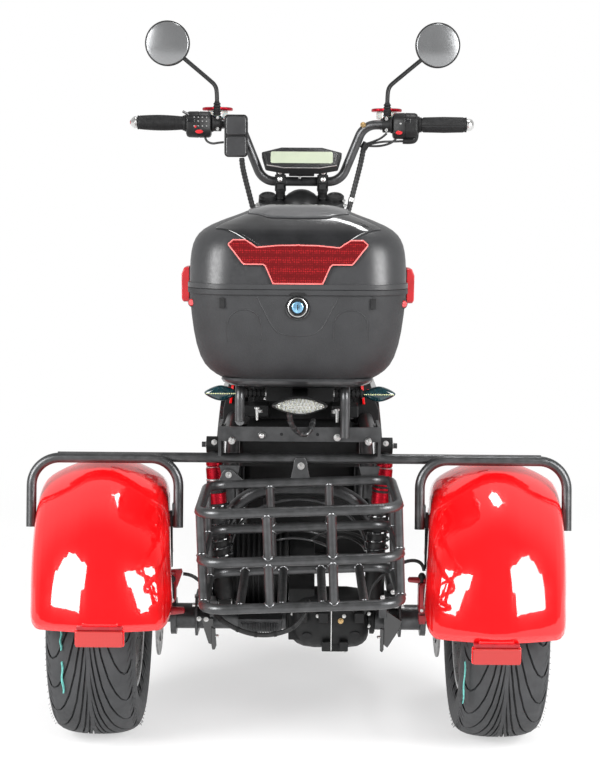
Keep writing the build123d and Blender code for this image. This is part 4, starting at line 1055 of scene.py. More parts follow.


# a pale bead along the reflector's bevelled edge, a painted highlight of that edge
outline = densified(bothHalves(lensLower)) + densified(list(reversed(bothHalves(lensUpper))))
piece("lidReflector_highlightEdge", lidBead(outline + outline[:1], 5.1, 1.15), "highlightEdgePaint", "box_lid", "red_lens")

panel = piece("lidPanel", lidPatch(bothHalves(panelLower), bothHalves(panelUpper), 70, 16, 0.2),
    "glossBlack", "box_lid", thick=1.8, sharp=50)
panel.modifiers["thickness"].offset = 1
crestRun = runAt(boxWords["crest"])
insertHalf = ((0, 957.8), (48, 958.5), (56, 959.8), (90, 969.5))
insertLower = bothHalves(insertHalf)
insertUpper = [(-90, crestRun + 60), (-60, crestRun + 95), (60, crestRun + 95), (90, crestRun + 60)]
insert = piece("lidInsert", lidPatch(insertLower, insertUpper, 40, 24, 0.15), "carbon", "box_lid",
    "gloss_black", thick=1.4, sharp=50)
insert.modifiers["thickness"].offset = 1
piece("lidInsert_edge", lidBead(densified(insertLower), 1.7, 1.1), "glossyGrey", "box_lid", "gloss_black")
piece("lidPanel_edge", bothSides(lidBead(densified([(x, runAt(z)) for x, z in panelLower[2:]]), 1.2,
    1.0)), "glossyGrey", "box_lid", "gloss_black")
# thin dark plates where the lid has its small recessed slots: painted shade of the recesses
slotRun = runAt(947.5)
slotShadeShape = lidPatch([(x, slotRun + rise) for x, rise in ((112, 0), (118, -3.4), (128, -1.0))],
    [(x, slotRun + rise) for x, rise in ((112, 0.6), (118, 3.0), (128, -0.6))], 6, 3, 2.3)
piece("lidSlotShades", bothSides(slotShadeShape), "rubber", "box_lid", "black_plastic")
slotLine = [(104, runAt(954.5)), (112, runAt(952)), (121, runAt(949)), (130, runAt(945))]
piece("lidSlot_lines", bothSides(lidBead(densified(slotLine), 2.0, 0.9)), "glossyGrey", "box_lid",
    "gloss_black")

# rounded ridges moulded into the tub
ridges = []
for side in (left, right):
    arc = [(side * (94 + 30 * cos(radians(a))), 776 + 28 * sin(radians(a))) for a in range(0, 181, 12)]
    arc = [(arc[0][0], 748)] + arc + [(arc[-1][0], 752)]
    ridges.append(tube([onTub(x, z, -0.5) for x, z in arc], 1.5, 8))
shield = [(-72, 826), (-67, 815), (-60.6, 804), (-51, 785), (-43, 772), (-34, 764), (-20, 759.5), (0, 758.5)]
shield += [(-x, z) for x, z in reversed(shield[:-1])]
ridges.append(tube([onTub(x, z, -0.6) for x, z in shield], 1.3, 8))
piece("tub_ridges", ridges, "grainedPlastic")
tabs = [plate(((-4.6, -9), (4.6, -9), (4.6, 9), (-4.6, 9)), boxAt(side * 133, -193.2, 815), 3.0)
    for side in (left, right)]
piece("tub_tabs", tabs, "rubber", slot="black_plastic", bevel=0.8)
piece("tub_notch", plate(((-16, 0), (16, 0), (11, 4.4), (-11, 4.4)), boxAt(0, -197.6, 829.2), 1.6),
    "rubber", slot="black_plastic", bevel=0.5)

lockSpot = onTub(0, 808, -1.0)
back = Vector((0, -1, 0.04))
lockShapes = [turned(((0, 21), (2.2, 21), (3.4, 19.6), (3.4, 17.4), (2.4, 16.4), (2.4, 0)), lockSpot,
    back, 48), turned(((2, 14.6), (6, 14.6), (7, 13.4), (7, 11), (5.4, 10), (5.4, 0)), lockSpot, back, 48)]
lockPiece = piece("lock", lockShapes, "glossBlack", sharp=30)
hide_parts("box_lock")
piece("lock_ring", turnedRing(((2.2, 14.8), (4.4, 14.8), (4.8, 15.6), (4.4, 16.6), (2.2, 16.8)),
    lockSpot, back, 64), "steel")
piece("lock_face", turned(((5.2, 9.8), (6.6, 9.6), (7.2, 8.4), (7.4, 0)), lockSpot, back, 40),
    "blueFace", slot="steel")
piece("lock_slot", plate(((-0.9, -4.5), (0.9, -4.5), (0.9, 4.5), (-0.9, 4.5)), lockSpot + back * 7.0 * mm,
    1.0), "rubber", slot="black_plastic")

# clips at the sides
clipOutline = ((0, -30), (11, -30), (14, -26), (14.5, 20), (10, 31), (0, 33))
clips = []
for side in (left, right):
    base = [(side * (198.7 + x), z) for x, z in clipOutline]
    rings = [[boxAt(x, y, 838 + z * tall) for x, z in base]
        for y, tall in ((-72, 0.92), (-68, 1), (-18, 1), (-14, 0.92))]
    clips.append(skin(rings))
clipPiece = piece("clips", clips, "redClip", bevel=1.4)
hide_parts("box_clips")
knobs = [turned(((0, 6), (5, 6), (6.5, 4.6), (6.5, 0)), boxAt(side * 188, -140, 812),
    (side * 0.35, -0.94, 0), 24) for side in (left, right)]
piece("clip_knobs", knobs, "redClip")
knobBases = [turned(((-6, 9), (1, 9), (1, 0)), boxAt(side * 188, -140, 812), (side * 0.35, -0.94, 0), 24)
    for side in (left, right)]
piece("clip_knobBases", knobBases, "blackPlastic", bevel=0.6)

# ---- lamps and the tail ----

print("tail")
# half lengths and heights of the leaf shapes, in millimetres
tailWords = {"leds": 17, "signalLong": 31, "signalTall": 14.5, "lampLong": 48, "lampTall": 15.5}


def leafOutline(halfLong, halfTall, point=1.6, count=40):
    outline = []
    for a in circle(count):
        outline.append((halfLong * cos(a), halfTall * sin(a) * (1 - abs(cos(a)) ** point * 0.45)))
    return outline


def leafShape(centre, halfLong, halfTall, layers, along=xAxis, up=zAxis):
    # layers: how far out, share of the outline
    out = along.cross(up).normalized()
    rings = []
    for depth, share in layers:
        rings.append([centre + along * (x * share * mm) + up * (z * share * mm) + out * (depth * mm)
            for x, z in leafOutline(halfLong, halfTall)])
    return skin(rings)


signalZ = 636.0
for group, bodyName, spots in (("rear", "frame", (-145, 145)), ("front", "steering", (-162, 162))):
    low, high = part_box(group + "_turn_signals")
    midZ = (low.z + high.z) / 2 / mm if group == "front" else signalZ
    midY = ((low.y + high.y) / 2 - rearY) / mm
    facing = 1 if group == "rear" else -1
    side = Vector((facing, 0, 0))
    bodies, leds, ribs = [], [], []
    for x in spots:
        centre = at(x, midY, midZ)
        bodies.append(leafShape(centre, tailWords["signalLong"], tailWords["signalTall"],
            ((-9, 0.55), (-7, 0.8), (0, 1.0), (5, 0.96), (8, 0.86), (9.6, 0.6), (10, 0.2)), side))
        for k in range(tailWords["leds"]):
            spot = centre + Vector((-26 + 52 * k / (tailWords["leds"] - 1), 0, 0)) * mm
            spot += side.cross(zAxis) * (10.2 - 0.036 * (k - 8) ** 2) * mm
            leds.append(turned(((0, 1.25), (0.6, 1.1), (0.9, 0)), spot, side.cross(zAxis), 8))
        sign = 1 if x > 0 else -1
        inner = 64 if group == "rear" else 100
        profile = [(0, 7.5)]
        run = abs(x) - 27 - inner
        steps = 7
        for k in range(steps):
            profile += [(run * (k + 0.15) / steps, 8.6), (run * (k + 0.55) / steps, 8.6),
                (run * (k + 0.7) / steps, 6.6), (run * (k + 0.98) / steps, 6.6)]
        profile.append((run + 6, 7.0))
        ribs.append(turned(profile, at(sign * inner, midY, midZ), (sign, 0, 0), 28))
    shell = piece(group + "Signal_leaves", bodies, "tealLens", bodyName, sharp=60)
    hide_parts(group + "_turn_signals")
    piece(group + "Signal_leds", leds, "ledGlow", bodyName, "clear_lens")
    piece(group + "Signal_stalks", ribs, "rubber", bodyName)

piece("signal_bracket", block((-62, -12, 622), (62, 12, 653.8)), "blackPlastic", bevel=1.5)
washers = [turned(((-1, 11), (1.4, 11), (1.4, 0)), at(side * 62.2, -2, signalZ + 1), (side, 0, 0), 24)
    for side in (left, right)]
piece("signal_washers", washers, "steel")
low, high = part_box("front_turn_signals")
rootZ = (low.z + high.z) / 2 / mm
roots = [rod(at(side * 97, 1000, rootZ), at(side * 104, 1000, rootZ), 9, 20) for side in (left, right)]
piece("frontSignal_roots", roots, "blackPlastic", "steering")

# headlight: bright ring, fluted lens and the bowl behind it
headlamp = {"z": 868, "lens": 71, "flute": 4.9, "pitch": 9}
face = at(0, 0, headlamp["z"])
face.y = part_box("headlight")[1].y
piece("headlight_ring", turnedRing(((-14, 82.2), (2, 83.4), (5.5, 81), (5.5, 75), (1.5, 72), (0.3, 72),
    (0.3, 82)), face, (0, 1, 0), 72), "steel", "steering")
piece("headlight_bowl", turned(((0.2, 73), (0.6, 73), (0.6, 0)), face, (0, 1, 0), 72), "alloy", "steering")
flutes = []
for k in range(-7, 8):
    across = k * headlamp["pitch"]
    reach = sqrt(headlamp["lens"] ** 2 - across ** 2) * mm
    spot = face + Vector((across * mm, 0, 0))
    flutes.append(rod(spot - Vector((0, 0, reach)), spot + Vector((0, 0, reach)), headlamp["flute"], 16))
piece("headlight_lens", flutes, "clearLens", "steering")

lampCentre = at(0, -188, 639)
lampShapes = [leafShape(lampCentre, tailWords["lampLong"], tailWords["lampTall"],
    ((-16, 0.5), (-12, 0.85), (0, 1.0), (12, 1.0), (14, 0.96), (14, 0.9), (9, 0.88))),
    block((-14, -189, 632), (14, -12.3, 646))]
lampShell = piece("lamp_shell", lampShapes, "blackPlastic", sharp=50)
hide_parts("tail_lamp")
piece("lamp_tray", leafShape(lampCentre, 44, 13.2, ((8, 0.3), (9.5, 0.97), (10, 0.5))), "whiteMark",
    slot="clear_lens")
bulbs = []
for row, z in enumerate((-6.6, -2.2, 2.2, 6.6)):
    reach = 37 if abs(z) < 4 else 26
    count = 13 if abs(z) < 4 else 9
    for k in range(count):
        x = -reach + 2 * reach * k / (count - 1) + (1.4 if row % 2 else -1.4)
        bulbs.append(turned(((0, 2.0), (1.2, 1.9), (2.2, 1.2), (2.5, 0)),
            lampCentre + Vector((x, -10.2, z)) * mm, (0, -1, 0), 10))
piece("lamp_bulbs", bulbs, "bulb", slot="clear_lens")
piece("lamp_lens", leafShape(lampCentre, 44.5, 13.4,
    ((12.6, 0.98), (16.5, 0.95), (19.6, 0.82), (21.4, 0.5), (21.8, 0.1))), "clearLens", sharp=60)

# bolts: X, Y, height, direction, size across the flats
tailBolts = ((-67, -107.6, 574, (0, -1, 0), 9), (67, -107.6, 571, (0, -1, 0), 9),
    (-72, -42, 606, (0, 0, 1), 8), (62, -42, 606, (0, 0, 1), 8), (-62, 20, 622, (0, 0, 1), 8),
    (52, 20, 622, (0, 0, 1), 8))
boltShapes = [hexHead(at(x, y, z), way, across) for x, y, z, way, across in tailBolts]
piece("tail_bolts", boltShapes, "steel", bevel=0.3, steps=1)
standing = []
for x, y, z0, z1 in ((-76, -98, 600, 622), (66, -98, 597, 620)):
    standing.append(rod(at(x, y, z0), at(x, y, z1), 2.6, 12))
    standing.append(turned(((0, 4.6), (3, 4.6), (4, 3.4), (4, 0)), at(x, y, z1 - 2), (0, 0, 1), 14))
for x in (-120, 122):
    for k in range(6):
        standing.append(turned(((0, 5.2), (1.5, 6.2), (3, 5.2)), at(x, -104 - k * 3, 565), (0, -1, 0), 18))
    standing.append(hexHead(at(x, -121, 565), (0, -1, 0), 6))
for x in (-154, 156):
    standing.append(hexHead(at(x, -62, 554), (0, -1, 0), 7))
piece("tail_studs", standing, "steel")
holes = [turned(((0, 2.9), (0.4, 2.9), (0.4, 0)), at(side * 32, -106.2, 576), (0, -1, 0), 18)
    for side in (left, right)]
piece("plate_holes", holes, "rubber", slot="black_plastic")

# the tail's plates and boxes under the top box
underPieces = [block((-96, -60, 566), (96, 120, 578)), block((-110, 12, 590), (-58, 70, 612)),
    block((58, 12, 590), (108, 70, 612)), block((-88, 66, 578), (88, 84, 640))]
piece("tail_tray", underPieces, "blackPlastic", bevel=2)
# the body's sides show to the left and right of the carrier, with a red strip along each
slopes, strips = [], []
for side, outer in ((left, ((130, 672), (138, 626), (146, 592), (146, 566))),
        (right, ((127, 672), (138, 626), (151, 592), (151, 566)))):
    outline = [(side * x, z) for x, z in outer] + [(side * 104, 566), (side * 100, 590), (side * 108, 672)]
    slopes.append(plate(outline, at(0, 120, 0), 14))
for side, top, foot in ((left, 124, 131), (right, 115, 121)):
    outline = [(side * (top - 2.5), 664), (side * (top + 2.5), 664), (side * (foot + 3), 604),
        (side * (foot - 2), 604)]
    strips.append(plate(outline, at(0, 105, 0), 8))
piece("tail_sides", slopes, "blackPlastic", bevel=2)
piece("tail_strips", strips, "redPaint", bevel=0.8)

# ---- cables and hoses ----

print("cables")


def cable(name, route, radius, body, finish="cableSleeve"):
    # a NURBS curve along a route, with a round section
    curve = bpy.data.curves.new(name, "CURVE")
    curve.dimensions = "3D"
    curve.resolution_u = 8
    curve.bevel_depth = radius * mm
    curve.bevel_resolution = 5
    curve.use_fill_caps = True
    spline = curve.splines.new("NURBS")
    spline.points.add(len(route) - 1)
    for spot, p in zip(spline.points, route):
        spot.co = (*at(*p), 1)
    spline.use_endpoint_u = True
    spline.order_u = 3
    curve.materials.append(finishes[finish])
    made = bpy.data.objects.new(name, curve)
    bpy.context.scene.collection.objects.link(made)
    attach(made, body)
    return made


def wraps(name, route, radius, gap, wide, finish, body):
    # bands around a cable, a little proud of it
    line = smoothLine([at(*p) for p in route], 12)
    shapes, travelled = [], 0.0
    for here, there in zip(line, line[1:]):
        travelled += (there - here).length / mm
        if travelled > gap:
            travelled = 0.0
            shapes.append(turned(((-wide / 2, radius), (-wide / 2, radius + 0.7),
                (wide / 2, radius + 0.7), (wide / 2, radius)), here, there - here, 16))
    return piece(name, joined(*shapes), finish, body, "rubber")

# ---- handlebar, grips, switches, mirrors and dash ----

print("handlebar")
barWords = {"gripRibs": 30, "sweep": 0.185, "bendX": 146, "bendY": 912, "gripZ": 1160, "radius": 11,
    "bend": 42, "tankX": 200, "tankY": 946, "tankZ": 1192, "mirrorRadius": 52.5, "mirrorX": 315,
    "mirrorY": 898, "mirrorZ": 1344}


def grip(x, back=0.0, up=0.0):
    return at(x, barWords["bendY"] - (abs(x) - barWords["bendX"]) * barWords["sweep"] - back,
        barWords["gripZ"] + up)


gripShapes, ends, tips, collars, housings, marks, redMarks, darkMarks = [], [], [], [], [], [], [], []
for side in (left, right):
    way = (grip(side * 300) - grip(side * 200)).normalized()
    start = grip(side * 272)
    if side < 0:
        profile = [(0, 15), (2, 17.5), (6, 17.5), (8, 15.4)]
        count = barWords["gripRibs"]
        for k in range(count):
            run = 9 + 98 * k / count
            swell = 16 + 2.3 * sin(pi * (run - 9) / 98)
            profile += [(run, swell), (run + 1.9, swell), (run + 2.3, swell - 0.6), (run + 3.0, swell - 0.6)]
        profile += [(108, 15.4), (110, 16.4), (112, 15.5), (112, 11)]
        gripShapes.append(turned(profile, start, way, 40))
    else:
        shape = []
        for run, radius in ((0, 14), (2, 17.3), (7, 17.3), (8, 15), (12, 16.8), (60, 17.8), (104, 16.8),
                (107, 16), (108, 17), (112, 17), (113, 12)):
            base = start + way * (run * mm)
            across, over, _ = axesFor(way)
            ring = []
            for k, a in enumerate(circle(80)):
                rib = 0.75 if 11 < run < 106 and k % 4 < 2 else 0
                ring.append(base + (across * cos(a) + over * sin(a)) * ((radius + rib) * mm))
            shape.append(ring)
        gripShapes.append(skin(shape))
    ends.append(turned(((0, 12), (1, 14), (6, 14), (11, 9.5 if side < 0 else 12),
        (14.5, 5 if side < 0 else 7), (15.4, 0)), grip(side * 384), way, 32))
    if side < 0:
        tips.append(turned(((0, 4.6), (1.2, 4.2), (1.6, 0)), grip(-398), way, 20))
    # switch housing: two shells with a seam, swelling towards the rider
    rings = []
    for run, share in ((0, 0.8), (2, 0.94), (6, 1), (27, 1.02), (28, 0.98), (29, 0.98), (30, 1.02),
            (51, 1), (56, 0.92), (58, 0.76)):
        centre = grip(side * (212 + run), 3, -3)
        rings.append([centre + yAxis * (a * share * mm) + zAxis * (b * share * mm)
            for a, b in roundedOutline(23, 30, 20, 6)])
    housings.append(skin(rings))
    for run in (-1.5, 59.5):
        collars.append(turned(((-2.4, 15), (-2.4, 19.5), (2.4, 19.5), (2.4, 15)),
            grip(side * (212 + run)), way, 32))
    for x, up in ((197, 13), (197, -13)):
        marks.append(capScrew(grip(side * x, 17, up), (0, -1, 0), 8))
    if side < 0:
        for up, count in ((13, 4), (4, 5), (-7, 4)):
            for k in range(count):
                x = -(222 + k * 9.5)
                marks.append(plate(roundedOutline(1.5, 1.1, 0.6, 2), grip(x, 26.2, up), 0.8))
        redMarks.append(turned(((0, 3.2), (1.2, 2.9), (1.6, 0)), grip(-248, 25.4, -9), (0, -1, 0), 18))
        redMarks.append(plate(oval(9, 4.5), grip(-239, 24.6, -20), 3))
        darkMarks.append(plate(roundedOutline(9, 5, 3, 3), grip(-258, 25.2, 5), 4.5))
        darkMarks.append(rod(grip(-262, 18, 18), grip(-277, 22, 26), 3, 12))
    else:
        marks.append(plate(roundedOutline(2.6, 1.6, 0.8, 2), grip(229, 26.4, 2), 0.8))
        redMarks.append(plate(oval(8, 4.4), grip(226, 24.6, -19), 3))
        for k in range(4):
            collars.append(turned(((-1.4, 20), (-1.4, 25 - k), (1.4, 25 - k), (1.4, 20)),
                grip(249 + k * 6), way, 32))
        darkMarks.append(plate(roundedOutline(7, 5, 2, 3), grip(245, 25.2, 8), 4))
shell = piece("bar_grips", gripShapes, "rubber", "steering", sharp=50)
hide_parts("grips")
piece("bar_ends", ends, "steel", "steering")
piece("bar_tips", tips, "redAnodised", "steering")
shell = piece("switch_shells", housings, "blackPlastic", "steering", sharp=30)
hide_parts("switch_housings")
piece("switch_collars", collars, "rubber", "steering")
piece("switch_marks", marks, "steel", "steering")
piece("switch_buttons", redMarks, "redClip", "steering", bevel=0.5)
piece("switch_keys", darkMarks, "glossBlack", "steering", bevel=1)

# fluid tanks with their caps, and the mirrors' boots
caps, tanks, boots = [], [], []
for side in (left, right):
    tank = at(side * barWords["tankX"], barWords["tankY"], barWords["tankZ"])
    rim = [(0, 24), (0, 36), (1.2, 37), (5.4, 37), (6.6, 35.6), (7.4, 32), (7.4, 20), (8, 18), (8, 0)]
    across = turned(rim, tank, (0, 0, 1), 56)
    notched = []
    for p in across[0]:
        offset = Vector((p.x - tank.x, p.y - tank.y, 0))
        bite = 1 - 0.05 * max(0, cos(6 * atan2(offset.y, offset.x))) if offset.length > 0.03 else 1
        notched.append(Vector((tank.x + offset.x * bite, tank.y + offset.y * bite, p.z)))
    caps.append((notched, across[1]))
    tanks.append(turned(((0, 20), (2, 24), (15, 24), (17.8, 23)), tank - zAxis * 17.8 * mm, (0, 0, 1), 40))
    profile = [(0, 9)]
    for k in range(5):
        profile += [(2 + k * 6, 8.8), (4 + k * 6, 10.2 - k * 0.5), (6 + k * 6, 8.2 - k * 0.5)]
    profile += [(33, 5.4), (33, 0)]
    boots.append(turned(profile, at(side * 199, 895, 1178.5), (0, 0, 1), 28))
shell = piece("tank_caps", caps, "redAnodised", "steering", sharp=40)
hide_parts("master_cylinders")
piece("tank_cups", tanks, "paleResin", "steering", "clear_lens")
piece("mirror_boots", boots, "rubber", "steering")
piece("tank_screw", hexHead(at(143, 900, 1160), (0, -1, 0), 9), "brass", "steering", "steel")

# mirrors: a dished back with a rolled rim, and a bent rod
backs, faces, rods = [], [], []
for side in (left, right):
    r = barWords["mirrorRadius"]
    middle = at(side * barWords["mirrorX"], barWords["mirrorY"], barWords["mirrorZ"])
    backs.append(turned(((0, r - 3), (0, r - 1.6), (1.2, r), (6, r), (10, r - 3), (14, r - 14),
        (16, r - 30), (16, 0)), middle, (0, 1, 0), 72))
    backs.append(turned(((0, 9), (5, 9), (8, 7)), at(side * 292, 908, 1320), (side * -0.6, 0, -0.8), 24))
    faces.append(turned(((0, r - 3.2), (-0.9, r - 3.6), (-1.3, r - 5), (-1.3, 0)), middle, (0, 1, 0), 72))
    line = smoothLine([at(side * x, y, z) for x, y, z in ((199, 895, 1205), (199, 896, 1232),
        (203, 898, 1248), (216, 900, 1260), (296, 906, 1326))], 10)
    rods.append(tube(line, 5, 16))
shell = piece("mirror_backs", backs + rods, "blackPlastic", "steering", sharp=40)
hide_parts("mirrors")
shell = piece("mirror_faces", faces, "mirrorFace", "steering", sharp=60)
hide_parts("mirror_glass")

# dash: a bevelled bezel tipped towards the rider, a gloss panel, a pale window and a silver lip
dashOut, dashUp = Vector((0, -0.75, 0.66)).normalized(), Vector((0, 0.66, 0.75)).normalized()
dashAt = at(0, 900, 1082)
hexagon = ((-95, 18), (-48, 34), (48, 34), (95, 18), (85, -24), (42, -34), (-42, -34), (-85, -24))
shell = piece("dash_bezel", slab(hexagon, dashAt, xAxis, dashUp, -20), "blackPlastic", "steering",
    bevel=3, steps=3)
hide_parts("dash_housing")
panel = [(x * 0.9, v * 0.86) for x, v in hexagon]
piece("dash_panel", slab(panel, dashAt - dashOut * 0.3 * mm, xAxis, dashUp, 1.0), "glossBlack",
    "steering", bevel=0.4)
shell = piece("dash_window", slab(roundedOutline(73, 18, 5), dashAt + dashOut * 0.7 * mm, xAxis, dashUp,
    1.1), "screen", "steering", bevel=0.4)
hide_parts("dash_screen")
lip = [dashAt + xAxis * (x * mm) + dashUp * (v * mm) + dashOut * (0.4 * mm)
    for x, v in ((-82, -23.5), (-42, -32), (42, -32), (82, -23.5))]
piece("dash_lip", tube(lip, 1.1, 10), "steel", "steering")
piece("dash_mount", joined(block((-30, 906, 1039), (30, 930, 1074)),
    block((-44, 912, 1046), (44, 922, 1066))), "blackPlastic", "steering", bevel=2)

def bentPath(corners, bend, steps=8):
    # a route with round bends, as points
    line = [corners[0]]
    for before, here, after in zip(corners, corners[1:], corners[2:]):
        inward, onward = (before - here).normalized(), (after - here).normalized()
        half = inward.angle(onward) / 2
        run = min(bend * mm / tan(half), 0.95 * (after - here).length)
        centre = here + (inward + onward).normalized() * (run / cos(half))
        first, last = here + inward * run - centre, here + onward * run - centre
        for k in range(steps + 1):
            line.append(centre + first.normalized().slerp(last.normalized(), k / steps) * first.length)
    return line + [corners[-1]]


# the bar itself, on two slim risers
barHalf = [at(0, 930, 1027), at(92, 930, 1027), grip(barWords["bendX"]), grip(392)]
barTubes, risers = [], []
for side in (left, right):
    corners = [Vector((side * p.x, p.y, p.z)) for p in barHalf]
    barTubes.append(tube(bentPath(corners, barWords["bend"]), barWords["radius"], 20))
    stemWay = (at(0, 930, 1027) - at(0, 953.8, 973.6)).normalized()
    foot = at(side * 50, 953.8, 973.6)
    risers.append(turned(((0, 15), (3, 15), (4, 12), (16, 11), (17, 12.4), (19, 12.4), (20, 11),
        (34, 11.5), (35, 13.5), (40, 13.5), (44, 13), (58, 14), (60, 10)), foot, stemWay, 28))
    risers.append(sideBlock(side, (42, 914, 1008), (58, 946, 1022)))
shell = piece("bar_tube", barTubes, "blackTube", "steering", sharp=60)
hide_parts("handlebar")
piece("bar_risers", risers, "castBlack", "steering", bevel=1, sharp=30)

# clamps on the risers, the yoke's caps and bolts, and the stem's cover
clamps, bolts, yokeCaps = [], [], []
for side in (left, right):
    clamps.append(turned(((-13, 12), (-13, 16), (13, 16), (13, 12)), at(side * 50, 930, 1027), (1, 0, 0), 32))
    clamps.append(sideBlock(side, (40, 908, 1022), (60, 926, 1056)))
    for z in (1032, 1049):
        bolts.append(turned(((0, 6), (4, 6), (5.4, 4.4), (6, 0)), at(side * 51, 908, z), (0, -1, 0), 20))
    yokeCaps.append(turned(((-6, 21), (6, 21), (9, 18), (9, 14), (7, 13), (7, 0)),
        at(side * 80, 948, 987), (0, -0.407, 0.914), 40))
    bolts.append(capScrew(at(side * 103, 914, 972), (0, -1, 0), 9))
    bolts.append(capScrew(at(side * 95, 908, 958), (0, -1, 0), 8))
bolts.append(capScrew(at(-4, 905, 1036), (0, -1, 0), 7))
dome = turned(((-6, 42), (10, 41), (22, 35), (30, 24), (35, 10), (36, 0)), at(0, 936, 972),
    (0, -0.4, 0.92), 48)
piece("riser_clamps", clamps, "castBlack", "steering", bevel=1.5)
piece("riser_bolts", bolts, "steel", "steering")
piece("yoke_caps", yokeCaps + [dome], "blackPlastic", "steering")

# control box: a dark surround, a rounded grey face with a seam, and a tab
shell = piece("control_back", plate(roundedOutline(27, 49, 9), at(-153.5, 891, 1131), 24),
    "blackPlastic", "steering", bevel=3)
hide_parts("control_box")
lids = [plate([(x - 1, z + middle) for x, z in roundedOutline(23.5, half, 6)], at(-152, 868, 1131), 7)
    for middle, half in ((23, 21), (-24, 22))]
piece("control_face", lids, "glossyGrey", "steering", "black_plastic", bevel=2.5, steps=3)
piece("control_tab", plate(roundedOutline(3, 22, 2), at(-128.5, 872, 1141), 10),
    "blackPlastic", "steering", bevel=1)

# looms and leads
looms = {
    "loom_left": (((-140, 877, 1079.6), (-139, 880, 1062), (-131, 888, 1028), (-121, 896, 990),
        (-112, 906, 954), (-92, 922, 922), (-66, 942, 902), (-50, 974, 890), (-44, 1012, 880),
        (-36, 1056, 874)), 6),
    "loom_right": (((147, 930, 1112), (142, 934, 1080), (134, 937, 1046), (125, 937, 1010),
        (116, 934, 974), (108, 930, 944), (92, 930, 920), (68, 944, 902), (51, 976, 889),
        (44, 1014, 879), (36, 1056, 874)), 6),
    "lead_throttle": (((199, 902, 1140.6), (190, 903, 1131), (171, 914, 1122), (151, 927, 1116)), 2.6),
    "lead_switch": (((223, 889, 1131.8), (215, 889, 1120), (193, 903, 1112), (170, 919, 1110),
        (151, 930, 1112)), 2.6),
    "lead_left": (((-227, 889, 1132.8), (-226, 886, 1120), (-210, 880, 1112), (-194, 876, 1115),
        (-181.9, 875, 1116)), 2.6)}
for name, (route, radius) in looms.items():
    made = cable(name, route, radius, "steering")
    if name == "loom_left":
        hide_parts("control_cables")
    if radius > 4:
        wraps(name + "Wraps", route, radius, 6.5, 3.4, "blackPlastic", "steering")
piece("loom_collar", rod(at(145, 931, 1105), at(153, 928, 1118), 9, 24), "rubber", "steering")
piece("loom_ferrules", joined(turned(((0, 6.6), (1, 7.4), (9, 7.4), (10, 6.6)), at(120, 935.6, 990),
    (-0.2, 0, -1), 24), capScrew(at(101, 925, 982), (0, -1, 0), 8),
    capScrew(at(-108, 905, 970), (0, -1, 0), 8)), "steel", "steering")
piece("throttle_elbow", tube(smoothLine([grip(266, 8, -18), grip(267, 8, -36), grip(250, 9, -39),
    grip(236, 10, -38)], 8), 6.5, 16), "blackPlastic", "steering")
throttleLine = ((238, 885, 1122), (214, 890, 1121), (182, 904, 1121), (156, 924, 1114))
cable("throttle_cable", throttleLine, 2.6, "steering")

# ---- the axle: calipers, shocks, motor, differential, hoses ----

print("axle")
axleWords = {"shockLow": 256, "shockHigh": 545, "coilLow": 330, "coilHigh": 436, "coilTurns": 7,
    "coilRadius": 20.5, "coilWire": 2.4, "motorY": 86, "motorZ": 290, "motorFins": 11, "armRadius": 11,
    "hoopX": 148, "hoopBend": 110, "hoopRise": 347, "hoopRadius": 12.5}

# calipers: red body, black bolt, red pin towards the middle and a lug below
reds, darks, bolts = [], [], []
for side in (left, right):
    x0, x1, z0, z1 = (222, 240, 262, 316) if side < 0 else (218, 240, 246, 302)
    rings = []
    for x, grow in ((x0, -5), (x0 + 2, -1), (x0 + 6, 0), (x1 - 3, 0), (x1, -3)):
        rings.append([at(side * x, -70 + a, (z0 + z1) / 2 + b)
            for a, b in roundedOutline(21 + grow, (z1 - z0) / 2 + grow, 8, 4)])
    reds.append(skin(rings))
    if side < 0:
        reds.append(plate(((-236, 318), (-213, 320), (-211, 314), (-221, 286), (-236, 284)),
            at(0, -66, 0), -10))
        reds.append(turned(((0, 8), (14, 7.5), (26, 6.5), (32, 6), (34, 0)), at(-240, -70, 244),
            (1, 0, 0.04), 20))
        darks.append(turned(((0, 6), (2, 8), (14, 8), (18, 5), (18, 0)), at(-230, -84, 306),
            (0, -1, 0.3), 20))
        darks.append(block((-232, -93, 268), (-224, -88, 300)))
    else:
        reds.append(turned(((0, 6.5), (20, 5.5), (30, 5), (32, 0)), at(230, -74, 305), (-1, 0, 0.05), 20))
        reds.append(block((219, -84, 226), (231, -60, 242)))
        darks.append(turned(((0, 6), (4, 6.8), (18, 6.8), (23, 3.5), (23, 0)), at(224, -74, 296),
            (0, 0, 1), 20))
        darks.append(block((226, -93, 262), (231, -88, 296)))
    bolts.append(capScrew(at(side * (x0 + 5), -91, z0 + 8), (0, -1, 0), 6))
    darks.append(sideBlock(side, (229, -66, 324), (233, -58, 410)))
    darks.append(sideBlock(side, (246, -84, 248), (266, -34, 306)))
shell = piece("caliper_bodies", reds, "deepRed", slot="red_anodised", bevel=1)
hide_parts("brake_calipers")
piece("caliper_caps", darks, "castBlack", bevel=0.8)
piece("caliper_bolts", bolts, "steel")

